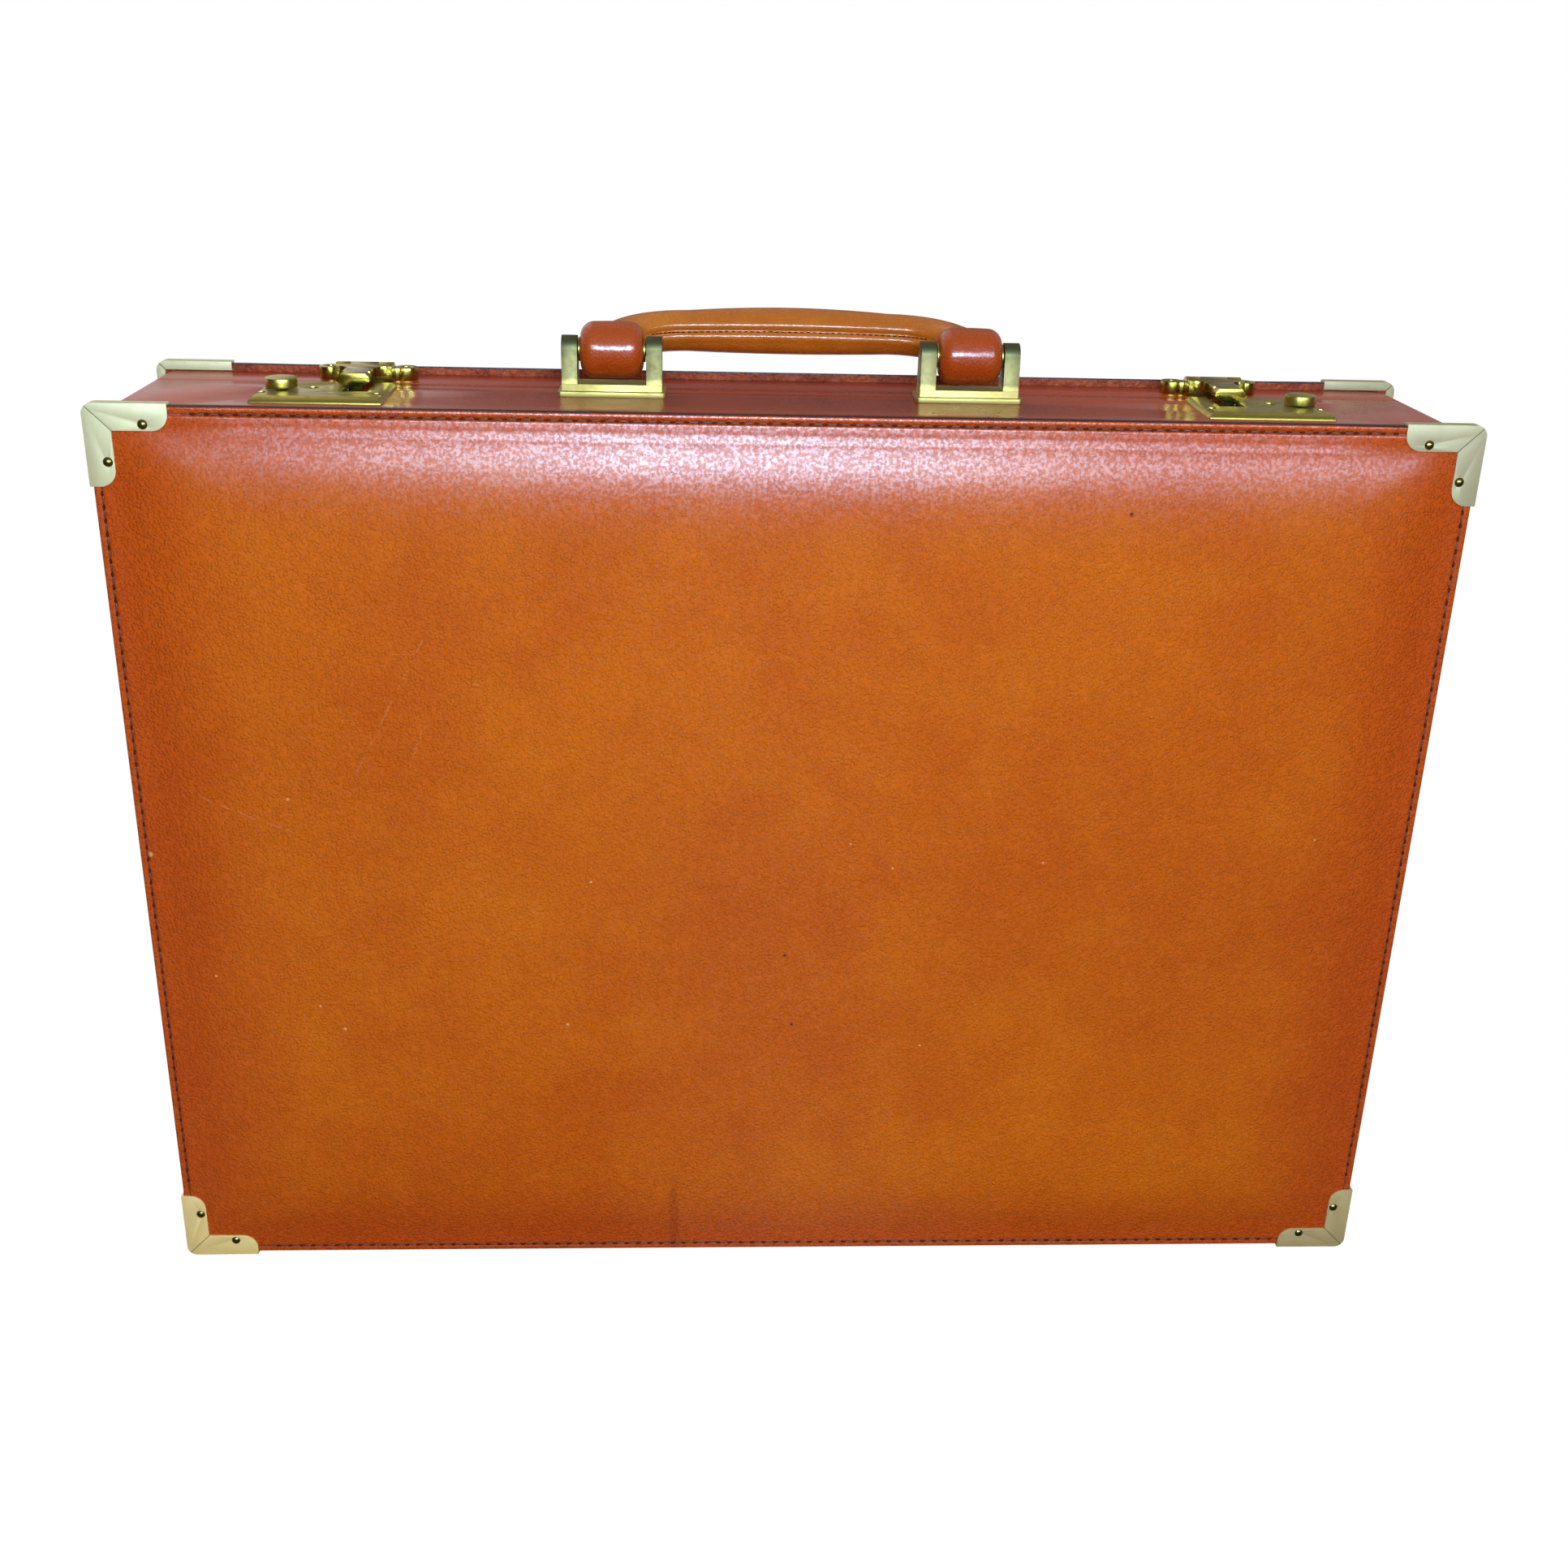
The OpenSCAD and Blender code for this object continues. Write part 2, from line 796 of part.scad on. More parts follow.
module lock_plate() {
    color([0.83, 0.64, 0.2])
        at_lock()
            difference() {
                intersection() {
                    translate([0, lock_l / 2, 0])
                        rotate([90, 0, 0])
                            linear_extrude(lock_l)
                                rolled_section(lock_w);
                    translate([-lock_w / 2, 0, 0])
                        rotate([90, 0, 90])
                            linear_extrude(lock_w)
                                rolled_section(lock_l);
                    linear_extrude(lock_h)
                        round_rect(lock_w, lock_l, lock_r);
                }
                box([-lock_w / 2 + lock_hollow_in, case_back - lock_case_l / 2, -cut],
                    [lock_w / 2 - lock_hollow_in, case_back + lock_case_l / 2, lock_h - lock_sheet]);
                box([-slot_off - slot_w / 2, slot_end - slot_l, -cut],
                    [-slot_off + slot_w / 2, slot_end, lock_h + cut]);
                translate([0, 0, -cut])
                    linear_extrude(lock_h + 2 * cut) {
                        translate([button_off, 0])
                            circle(stem_r + side_gap);
                        translate([button_off + button_travel, 0])
                            circle(stem_r + side_gap);
                        translate([button_off, -stem_r - side_gap])
                            square([button_travel, 2 * (stem_r + side_gap)]);
                        translate([key_off, key_back])
                            circle(key_r);
                    }
                for (s = [-1, 1])
                    translate([s * lock_screw_x, -lock_screw_y, 0]) {
                        translate([0, 0, -cut])
                            cylinder(r = screw_shank_r + hole_fit, h = lock_h + 2 * cut);
                        translate([0, 0, lock_h - lock_sheet])
                            cylinder(r = screw_r + hole_fit, h = lock_sheet + cut);
                    }
            }
}

// Tray let into the wall under the plate, with the post that the key turns on
module lock_case() {
    color("silver")
        at_lock() {
            difference() {
                box([-lock_case_w / 2, case_back - lock_case_l / 2, -case_sink],
                    [lock_case_w / 2, case_back + lock_case_l / 2, 0]);
                box([-lock_case_w / 2 + lock_case_t, case_back - lock_case_l / 2 + lock_case_t,
                     -case_sink + lock_case_t],
                    [lock_case_w / 2 - lock_case_t, case_back + lock_case_l / 2 - lock_case_t, cut]);
            }
            translate([key_off, key_back, -case_sink + lock_case_t / 2])
                cylinder(r = key_post_r, h = case_sink - lock_case_t / 2 + lock_h - lock_sheet / 2);
        }
}

module lock_screw_pair() {
    color([0.25, 0.2, 0.15])
        at_lock()
            for (s = [-1, 1])
                translate([s * lock_screw_x, -lock_screw_y, lock_h - lock_sheet]) {
                    dome(screw_r, lock_sheet);
                    translate([0, 0, -screw_len])
                        cylinder(r = screw_shank_r, h = screw_len);
                }
}

module lock_button() {
    color([0.83, 0.64, 0.2])
        at_lock()
            translate([button_off, 0, 0]) {
                translate([0, 0, lock_h + button_gap])
                    cylinder(r = button_r, h = button_h);
                translate([0, 0, bolt_gap])
                    cylinder(r = stem_r, h = lock_h + button_gap);
            }
}

// Bolt that the button draws back from the neck of the hasp
module lock_bolt() {
    tip = -hasp_off + neck_w / 2 + side_gap;
    shoulder = -slot_off + slot_w / 2;
    tail = button_off + stem_r + bolt_past;
    post_slot = key_post_r + side_gap;
    far = neck_y + neck_l / 2;
    color("silver")
        at_lock()
            translate([0, 0, bolt_gap])
                linear_extrude(lock_h - lock_sheet - 2 * bolt_gap)
                    difference() {
                        union() {
                            translate([shoulder, -bolt_w + far])
                                square([tail - shoulder, bolt_w]);
                            translate([tip, neck_y - neck_l / 2])
                                square([shoulder - tip + bolt_past, neck_l]);
                        }
                        for (x = [key_off - button_travel, key_off])
                            translate([x, key_back])
                                circle(post_slot);
                        translate([key_off - button_travel, key_back - post_slot])
                            square([button_travel, 2 * post_slot]);
                        translate([button_off, 0])
                            circle(stem_r + pin_fit / 2);
                    }
}

// Hasps on the lid

module hasp_mount() {
    color([0.83, 0.64, 0.2])
        at_hasp()
            difference() {
                union() {
                    translate([0, 0, -hasp_up]) {
                        box([-barrel_w / 2, -barrel_r, 0],
                            [barrel_w / 2, ear_back + web_w / 2, mount_t]);
                        for (s = [-1, 1]) {
                            translate([s * ear_off, ear_back, 0])
                                cylinder(r = ear_r, h = ear_h);
                            translate([s * (ear_off - ear_r), ear_back - web_w / 2, 0])
                                linear_extrude(ear_h)
                                    square(web_w, center = true);
                        }
                    }
                    for (s = [-1, 1])
                        translate([s * (barrel_w + knuckle_w + 2 * side_gap) / 4, 0, 0]) {
                            w = (barrel_w - knuckle_w - 2 * side_gap) / 2;
                            bar_x(barrel_r, w);
                            box([-w / 2, -barrel_r, -hasp_up], [w / 2, barrel_r, 0]);
                        }
                }
                bar_x(hasp_pin_r + pin_fit / 2, barrel_w + 2 * cut);
                bar_x(barrel_r + side_gap, knuckle_w + 2 * side_gap);
                for (s = [-1, 1])
                    translate([s * ear_off, ear_back, -hasp_up]) {
                        translate([0, 0, -cut])
                            cylinder(r = screw_shank_r + hole_fit, h = ear_h + 2 * cut);
                        translate([0, 0, ear_h - lock_sheet])
                            cylinder(r = screw_r + hole_fit, h = lock_sheet + cut);
                    }
            }
}

module hasp_mount_screw_pair() {
    color([0.25, 0.2, 0.15])
        at_hasp()
            for (s = [-1, 1])
                translate([s * ear_off, ear_back, -hasp_up + ear_h - lock_sheet]) {
                    dome(screw_r, lock_sheet);
                    translate([0, 0, -screw_len])
                        cylinder(r = screw_shank_r, h = screw_len);
                }
}

module hasp_pin() {
    color([0.7, 0.52, 0.15])
        at_hasp()
            bar_x(hasp_pin_r, barrel_w);
}

// Side view of the arm, from the pin forward to the nose
module arm_section() {
    low = nose_z - hasp_up + arm_rise;
    top = nose_z + nose_h - hasp_up;
    front = -nose_reach + nose_l - nose_joint;
    circle(barrel_r);
    polygon([
        [0, barrel_r], [-barrel_r - side_gap - bar_l, bar_up], [front, top],
        [front, top - arm_t], [-barrel_r - side_gap - bar_l, low], [-barrel_r, low], [0, low]
    ]);
}

// Side view of the wide bar
module bar_section() {
    low = mount_t + side_gap - hasp_up;
    translate([-barrel_r - side_gap - bar_l, low])
        square([bar_l, bar_up - low]);
}

// Plan of the hasp, from the middle knuckle forward: a wide bar that runs into the arm
module arm_plan() {
    bar_front = -barrel_r - side_gap - bar_l;
    translate([-knuckle_w / 2, bar_front])
        square([knuckle_w, barrel_r - bar_front]);
    translate([-barrel_w / 2, bar_front])
        square([barrel_w, bar_l]);
    translate([-arm_w / 2, -nose_reach])
        square([arm_w, nose_reach + bar_front + nose_joint]);
    for (s = [-1, 1])
        difference() {
            translate([s > 0 ? arm_w / 2 : -arm_w / 2 - flank_r, bar_front - flank_r])
                square([flank_r, flank_r + eps]);
            translate([s * (arm_w / 2 + flank_r), bar_front - flank_r])
                circle(flank_r);
        }
}

// Eight-sided front of the nose
module nose_front() {
    b = nose_bevel;
    w = nose_w / 2;
    polygon([
        [-w + b, 0], [w - b, 0], [w, b], [w, nose_h - b],
        [w - b, nose_h], [-w + b, nose_h], [-w, nose_h - b], [-w, b]
    ]);
}

module hasp() {
    base_z = -hasp_up;
    color([0.83, 0.64, 0.2])
        at_hasp()
            difference() {
                union() {
                    intersection() {
                        translate([-barrel_w / 2, 0, 0])
                            rotate([90, 0, 90])
                                linear_extrude(barrel_w) {
                                    arm_section();
                                    bar_section();
                                }
                        translate([0, 0, -hasp_up])
                            linear_extrude(2 * hasp_up)
                                arm_plan();
                    }
                    translate([0, -nose_reach + nose_l, base_z + nose_z])
                        rotate([90, 0, 0])
                            linear_extrude(nose_l)
                                nose_front();
                    box([-neck_w / 2, -nose_reach + (nose_l - neck_l) / 2, base_z + neck_z],
                        [neck_w / 2, -nose_reach + (nose_l + neck_l) / 2, base_z + nose_z + nose_joint]);
                }
                bar_x(hasp_pin_r + pin_fit, barrel_w + 2 * cut);
            }
}

// Handle brackets

module bracket() {
    half = leg_gap / 2 + leg_t;
    color([0.6, 0.58, 0.35])
        translate([bracket_span / 2, pin_y, wall_top])
            difference() {
                union() {
                    linear_extrude(foot_t)
                        round_rect(2 * (half + foot_out), foot_l, foot_r);
                    box([-half, -leg_foot / 2, 0], [half, leg_foot / 2, foot_t + bridge_h]);
                    for (s = [-1, 1])
                        translate([s * (half - leg_t / 2) - leg_t / 2, 0, 0])
                            rotate([90, 0, 90])
                                linear_extrude(leg_t) {
                                    polygon([
                                        [-leg_foot / 2, 0], [leg_foot / 2, 0],
                                        [leg_r, pin_up], [-leg_r, pin_up]
                                    ]);
                                    translate([0, pin_up])
                                        circle(leg_r);
                                }
                    for (o = [-1, 1])
                        translate([o * stud_off, 0, -wall_t - backing_t - nut_h + nut_cap])
                            cylinder(r = stud_r, h = wall_t + backing_t + nut_h);
                }
                translate([0, 0, pin_up])
                    bar_x(handle_pin_r + pin_fit / 2, 2 * (half + cut));
            }
}

module handle_pin() {
    color([0.6, 0.58, 0.35])
        translate([bracket_span / 2, pin_y, pin_z])
            bar_x(handle_pin_r, leg_gap + 2 * leg_t);
}

module backing_plate() {
    color("silver")
        translate([bracket_span / 2, pin_y, inner_top - backing_t])
            difference() {
                linear_extrude(backing_t)
                    round_rect(2 * (stud_off + nut_r + backing_edge),
                               2 * (nut_r + backing_edge), backing_r);
                for (o = [-1, 1])
                    translate([o * stud_off, 0, -cut])
                        cylinder(r = stud_r + hole_fit, h = backing_t + 2 * cut);
            }
}

// Closed nuts on the studs, inside the case
module nut_pair() {
    color("silver")
        for (o = [-1, 1])
            translate([bracket_span / 2 + o * stud_off, pin_y, inner_top - backing_t - nut_h])
                difference() {
                    union() {
                        translate([0, 0, nut_end_h])
                            cylinder(r = nut_r, h = nut_h - nut_end_h, $fn = 6);
                        cylinder(r = nut_end_r, h = nut_h);
                    }
                    translate([0, 0, nut_cap - pin_fit])
                        cylinder(r = stud_r + pin_fit, h = nut_h);
                }
}

// Handle

// Puts the handle's flat drawing, with Y away from the pins, at its resting tilt
module at_handle() {
    translate([0, pin_y, pin_z])
        rotate([handle_tilt, 0, 0])
            children();
}

// Bend from the right barrel to the straight grip
module handle_bend(r) {
    translate([grip_half, grip_lead, 0])
        rotate_extrude(angle = 90)
            translate([grip_bend, 0])
                circle(r);
    translate([bracket_span / 2, grip_lead, 0])
        rotate([90, 0, 0])
            cylinder(r = r, h = grip_lead);
}

// Grip between the bends, thicker in the middle
module straight_grip() {
    translate([0, grip_reach, 0])
        rotate([0, 90, 0])
            rotate_extrude() {
                translate([0, -grip_half])
                    square([grip_thin_r, 2 * grip_half]);
                intersection() {
                    translate([0, -grip_half])
                        square([grip_mid_r, 2 * grip_half]);
                    translate([grip_mid_r - grip_arc_r, 0])
                        circle(grip_arc_r, $fn = 900);
                }
            }
}

// Leather barrel round the pin
module grip_end() {
    rotate([0, 90, 0])
        rotate_extrude()
            intersection() {
                round_rect(2 * grip_end_r, grip_end_w, grip_end_round);
                translate([0, -grip_end_w / 2])
                    square([grip_end_r, grip_end_w]);
            }
}

module core_shape(extra) {
    for (s = [0, 1])
        mirror([s, 0, 0]) {
            handle_bend(core_r + extra);
            translate([bracket_span / 2, 0, 0])
                bar_x(eye_r + extra, eye_w + 2 * extra);
        }
    translate([0, grip_reach, 0])
        bar_x(core_r + extra, 2 * grip_half);
}

module handle_grip() {
    color([0.7, 0.33, 0.1])
        at_handle()
            difference() {
                union() {
                    straight_grip();
                    for (s = [0, 1])
                        mirror([s, 0, 0]) {
                            handle_bend(grip_thin_r);
                            translate([bracket_span / 2, 0, 0])
                                grip_end();
                        }
                }
                core_shape(hole_fit);
                for (s = [-1, 1])
                    translate([s * bracket_span / 2, 0, 0])
                        bar_x(handle_pin_r + pin_fit, grip_end_w + 2 * cut);
            }
}

module handle_core() {
    color("silver")
        at_handle()
            difference() {
                core_shape(0);
                for (s = [-1, 1])
                    translate([s * bracket_span / 2, 0, 0])
                        bar_x(handle_pin_r + pin_fit, eye_w + 2 * cut);
            }
}

module handle_washers() {
    color([0.7, 0.55, 0.25])
        at_handle()
            for (s = [-1, 1], o = [-1, 1])
                translate([s * bracket_span / 2 + o * (grip_end_w + washer_t) / 2, 0, 0])
                    difference() {
                        bar_x(washer_r, washer_t);
                        bar_x(handle_pin_r + pin_fit, washer_t + 2 * cut);
                    }
}

// Piano hinge

// Knuckles first, first + 2 and so on, with the tabs that join them to a leaf on the -Y side
module hinge_leaf(first) {
    color([0.75, 0.6, 0.3])
        translate([0, hinge_y, hinge_z])
            difference() {
                union() {
                    box([-hinge_len / 2, -leaf_off - leaf_w, hinge_drop - leaf_t],
                        [hinge_len / 2, -leaf_off, hinge_drop]);
                    for (i = [first : 2 : knuckles - 1])
                        translate([-hinge_len / 2 + (i + 0.5) * knuckle_l, 0, 0]) {
                            w = knuckle_l - side_gap;
                            bar_x(hinge_r, w);
                            box([-w / 2, -leaf_off - leaf_t, hinge_drop - leaf_t],
                                [w / 2, 0, hinge_drop]);
                        }
                }
                bar_x(hinge_pin_r + pin_fit, hinge_len + 2 * cut);
                for (i = [0 : rivets - 1])
                    translate([rivet_x(i), -leaf_off - leaf_w / 2, 0])
                        cylinder(r = screw_shank_r, h = hinge_drop + cut);
            }
}

module hinge_leaf_lid() {
    translate([0, 2 * hinge_y, 0])
        lid_side() hinge_leaf(1);
}

function rivet_x(i) = hinge_len * ((i + 0.5) / rivets - 0.5);

module hinge_rivets(side) {
    color([0.75, 0.6, 0.3])
        for (i = [0 : rivets - 1])
            translate([rivet_x(i), hinge_y + side * (leaf_off + leaf_w / 2),
                       hinge_z + hinge_drop - leaf_t])
                rotate([180, 0, 0]) {
                    dome(rivet_r, rivet_h);
                    translate([0, 0, -leaf_t - wall_skin_t - rivet_sink])
                        cylinder(r = screw_shank_r, h = leaf_t + wall_skin_t + rivet_sink);
                }
}

module hinge_pin() {
    color("silver")
        translate([0, hinge_y, hinge_z])
            bar_x(hinge_pin_r, hinge_len);
}

// Lid stays

// Flat link between two points of a drawing
module link(from, to) {
    step = to - from;
    linear_extrude(link_t) {
        for (p = [from, to])
            translate(p)
                circle(link_w / 2);
        translate(from)
            rotate(atan2(step[1], step[0]))
                translate([0, -link_w / 2])
                    square([norm(step), link_w]);
    }
}

// Round bar of radius r at a point of a drawing, from z0 to z1
module peg(at, r, z0, z1) {
    translate([at[0], at[1], z0])
        cylinder(r = r, h = z1 - z0);
}

// Turns a drawing in YZ into place at x
module at_link(x) {
    translate([x, 0, 0])
        rotate([90, 0, 90])
            children();
}

// Lower link, with the elbow pin that carries the upper link
module stay_lower() {
    pin_end = -link_gap * 1.5 - link_t;
    color("silver")
        at_link(lower_link_x) {
            difference() {
                link(stay_base, stay_elbow);
                peg(stay_base, pivot_r + pin_fit, -cut, link_t + cut);
            }
            peg(stay_elbow, pivot_r, pin_end, eps);
            peg(stay_elbow, pivot_head_r, pin_end - pivot_head_h, pin_end);
        }
}

module stay_upper() {
    color("silver")
        at_link(upper_link_x)
            difference() {
                link(stay_lid, stay_elbow);
                peg(stay_lid, pivot_r + pin_fit, -cut, link_t + cut);
                peg(stay_elbow, pivot_r + elbow_play, -cut, link_t + cut);
            }
}

// Stud from the wall board through the lining to a link at link_x
module stay_stud(at, link_x) {
    wall_x = inner_w / 2;
    head_x = link_x - link_gap / 2;
    color("silver")
        at_link(0) {
            peg(at, collar_r, link_x + link_t + link_gap / 2, wall_x);
            peg(at, pivot_r, head_x, wall_x + lining_t + stud_sink);
            peg(at, pivot_head_r, head_x - pivot_head_h, head_x);
        }
}

// Folder in the lid

module lid_folder() {
    color([0.4, 0.2, 0.1])
        stand(panel_inner - lining_t - folder_t, panel_inner - lining_t)
            translate([0, mid_z])
                round_rect(folder_w, folder_h, folder_r);
}

module lid_pocket() {
    low = mid_z - folder_h / 2 + pocket_in;
    dip_r = (folder_w * folder_w / 16 + pocket_dip * pocket_dip) / (2 * pocket_dip);
    color([0.45, 0.23, 0.12])
        stand(panel_inner - lining_t - folder_t - pocket_t, panel_inner - lining_t - folder_t)
            difference() {
                translate([0, low + pocket_h / 2])
                    round_rect(folder_w - 2 * pocket_in, pocket_h, pocket_r);
                translate([0, low + pocket_h - pocket_dip + dip_r])
                    circle(dip_r, $fn = 360);
            }
}

// Leather loops for pens, above the pocket
module pen_loops() {
    r = pen_r + pen_loop_t;
    face = panel_inner - lining_t - folder_t;
    color([0.4, 0.2, 0.1])
        for (i = [0 : pen_loops_n - 1])
            translate([(i - (pen_loops_n - 1) / 2) * pen_pitch, face - r,
                       mid_z + folder_h / 2 - pen_down])
                difference() {
                    union() {
                        cylinder(r = r, h = pen_loop_l);
                        box([-r, 0, 0], [r, r, pen_loop_l]);
                    }
                    translate([0, 0, -cut])
                        cylinder(r = pen_r, h = pen_loop_l + 2 * cut);
                }
}

panel_leather();  // base_panel_leather
panel_padding();  // base_panel_padding
panel_board();  // base_panel_board
base_frame();
base_wall_leather();
base_lining();
base_rim();
at_corner(false, true) corner_cap();  // base_corner_top_left
at_corner(true, true) corner_cap();  // base_corner_top_right
at_corner(false, false) corner_cap();  // base_corner_bottom_left
at_corner(true, false) corner_cap();  // base_corner_bottom_right
corner_nails();  // base_corner_nails
left_side() lock_plate();  // lock_plate_left
lock_plate();  // lock_plate_right
left_side() lock_case();  // lock_case_left
lock_case();  // lock_case_right
both_sides() lock_screw_pair();  // lock_screws
left_side() bracket();  // handle_bracket_left
bracket();  // handle_bracket_right
both_sides() handle_pin();  // handle_pins
both_sides() backing_plate();  // bracket_backing_plates
both_sides() nut_pair();  // bracket_nuts
hinge_leaf(0);  // hinge_leaf_base
hinge_pin();
hinge_rivets(-1);  // hinge_rivets_base
both_sides() stay_stud(stay_base, lower_link_x);  // base_stay_studs
lid_side() panel_leather();  // lid_panel_leather
lid_side() panel_padding();  // lid_panel_padding
lid_side() panel_board();  // lid_panel_board
lid_frame();
lid_wall_leather();
lid_lining();
lid_side() at_corner(false, true) corner_cap();  // lid_corner_top_left
lid_side() at_corner(true, true) corner_cap();  // lid_corner_top_right
lid_side() at_corner(false, false) corner_cap();  // lid_corner_bottom_left
lid_side() at_corner(true, false) corner_cap();  // lid_corner_bottom_right
lid_side() corner_nails();  // lid_corner_nails
left_side() hasp_mount();  // hasp_mount_left
hasp_mount();  // hasp_mount_right
both_sides() hasp_mount_screw_pair();  // hasp_mount_screws
both_sides() hasp_pin();  // hasp_pins
hinge_leaf_lid();
hinge_rivets(1);  // hinge_rivets_lid
both_sides() stay_stud(stay_lid, upper_link_x);  // lid_stay_studs
lid_folder();
lid_pocket();
pen_loops();
handle_grip();
handle_core();
handle_washers();
left_side() hasp();  // hasp_left
hasp();  // hasp_right
left_side() lock_button();  // lock_button_left
lock_button();  // lock_button_right
left_side() lock_bolt();  // lock_bolt_left
lock_bolt();  // lock_bolt_right
left_side() stay_lower();  // stay_lower_left
stay_lower();  // stay_lower_right
left_side() stay_upper();  // stay_upper_left
stay_upper();  // stay_upper_right
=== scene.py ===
# Looks of the leather attache case: stitched leather, brass fittings and the lined inside.
import math

import bpy
import numpy as np
from mathutils import Euler, Matrix, Vector, noise


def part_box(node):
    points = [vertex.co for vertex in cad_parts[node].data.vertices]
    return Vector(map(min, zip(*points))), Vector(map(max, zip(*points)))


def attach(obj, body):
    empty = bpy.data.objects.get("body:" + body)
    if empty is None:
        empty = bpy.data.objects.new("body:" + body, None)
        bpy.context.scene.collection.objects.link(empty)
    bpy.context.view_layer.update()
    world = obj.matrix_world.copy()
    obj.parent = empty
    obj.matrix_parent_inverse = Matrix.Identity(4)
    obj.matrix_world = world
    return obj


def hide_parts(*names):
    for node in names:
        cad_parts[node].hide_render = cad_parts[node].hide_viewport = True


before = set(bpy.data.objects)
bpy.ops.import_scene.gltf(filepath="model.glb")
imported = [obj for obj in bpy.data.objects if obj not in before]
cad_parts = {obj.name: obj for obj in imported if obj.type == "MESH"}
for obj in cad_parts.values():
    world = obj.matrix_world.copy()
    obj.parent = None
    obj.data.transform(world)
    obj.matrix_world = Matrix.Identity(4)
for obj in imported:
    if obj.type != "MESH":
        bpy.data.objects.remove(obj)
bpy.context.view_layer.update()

# Sizes below are millimetres, as in the drawing of the case. MM turns them into metres.
MM = 0.001

# Outline of the leather panels
PANEL_HALF_W = 225.0
PANEL_BOTTOM = 0.7
PANEL_TOP = 324.5
MID_Z = (PANEL_BOTTOM + PANEL_TOP) / 2
PANEL_HALF_H = (PANEL_TOP - PANEL_BOTTOM) / 2
EDGE_FACE = 43.0
EDGE_BACK = 40.0
EDGE_RADIUS = 3.0
EDGE_ROUND = 0.9
SKIN = 1.6

# Crown of the panels
BORDER = 8.5
CROWN_HEIGHT = 5.0
CROWN_FALL = 40.0
CROWN_RADIUS = 7.0
CROWN_FULLNESS = 2.6

# Border of the panels: the stitched channel, the low roll beside it and the lean under the top edge
CHANNEL_DEPTH = 0.55
CHANNEL_WIDTH = 0.5
ROLL_IN = 4.6
ROLL_HEIGHT = 0.12
ROLL_WIDTH = 1.8
LEAN_SLOPE = 0.12
LEAN_REACH = 9

# Stitching of the panels
STITCH_IN = 2.6
STITCH_PITCH = 4.45
STITCH_LENGTH = 3.1
STITCH_WIDTH = 0.8
STITCH_LEAN = 0.06
STITCH_SUNK = 0.42
HOLE_LENGTH = 1.9
HOLE_WIDTH = 0.9
HOLE_SUNK = 0.22
CAP_LENGTH = 26.0

# Outer corner of the brass caps
CAP_X = 225.7
CAP_HALF_Z = 162.6

# Handle: its pins, its tilt and the line of its grip
PIN_Y = 7.0
PIN_Z = 336.8
TILT = math.radians(5.5)
GRIP_REACH = 26.0
GRIP_BEND = 23.0
GRIP_HALF = 38.5
BARREL_X = 61.5
BARREL_HALF = 10.8
BARREL_RADIUS = 9.2
SEAM_ANGLE = math.radians(13)


def deselect():
    """Deselects everything, which each operator below counts on."""
    for obj in bpy.context.selected_objects:
        obj.select_set(False)


def pick(obj):
    """Makes one object the only selected and the active one."""
    deselect()
    obj.select_set(True)
    bpy.context.view_layer.objects.active = obj


def modify(obj, kind, **settings):
    """Adds a modifier of that kind with its settings, and applies it."""
    pick(obj)
    modifier = obj.modifiers.new(kind.lower(), kind)
    for key, value in settings.items():
        setattr(modifier, key, value)
    bpy.ops.object.modifier_apply(modifier=modifier.name)


def edit_all(obj):
    """Enters edit mode with the whole mesh selected."""
    pick(obj)
    bpy.ops.object.mode_set(mode="EDIT")
    bpy.ops.mesh.select_all(action="SELECT")


def face_outward(obj):
    """Turns all faces of a closed mesh outward."""
    edit_all(obj)
    bpy.ops.mesh.normals_make_consistent(inside=False)
    bpy.ops.object.mode_set(mode="OBJECT")


def points_of(obj):
    """The mesh's points as an array, in millimetres."""
    flat = np.zeros(len(obj.data.vertices) * 3)
    obj.data.vertices.foreach_get("co", flat)
    return flat.reshape(-1, 3) / MM


def move_points(obj, points):
    """Puts the mesh's points where an array in millimetres says."""
    obj.data.vertices.foreach_set("co", (points * MM).ravel())
    obj.data.update()


def places_at(x, y, z):
    """An array of points from their x, y and z, each of them an array or one number."""
    return np.stack(np.broadcast_arrays(x, y, z), axis=1)


def smooth(obj, angle):
    """Smooth shading, with edges sharper than the angle kept crisp."""
    pick(obj)
    bpy.ops.object.shade_smooth_by_angle(angle=math.radians(angle))


def coat(obj, *finishes):
    """Gives an object its finishes, in the order of its material slots."""
    obj.data.materials.clear()
    for finish in finishes:
        obj.data.materials.append(finish)


def join(name, parts):
    """Joins several objects into one piece."""
    deselect()
    for part in parts:
        part.select_set(True)
    bpy.context.view_layer.objects.active = parts[0]
    bpy.ops.object.join()
    parts[0].name = name
    return parts[0]


def copies(source, places):
    """Copies of one object, each with its own mesh moved by one of the matrices, without the source."""
    made = []
    for place in places:
        copy = source.copy()
        copy.data = source.data.copy()
        copy.data.transform(place)
        bpy.context.scene.collection.objects.link(copy)
        made.append(copy)
    bpy.data.objects.remove(source)
    return made


# Node groups and finishes

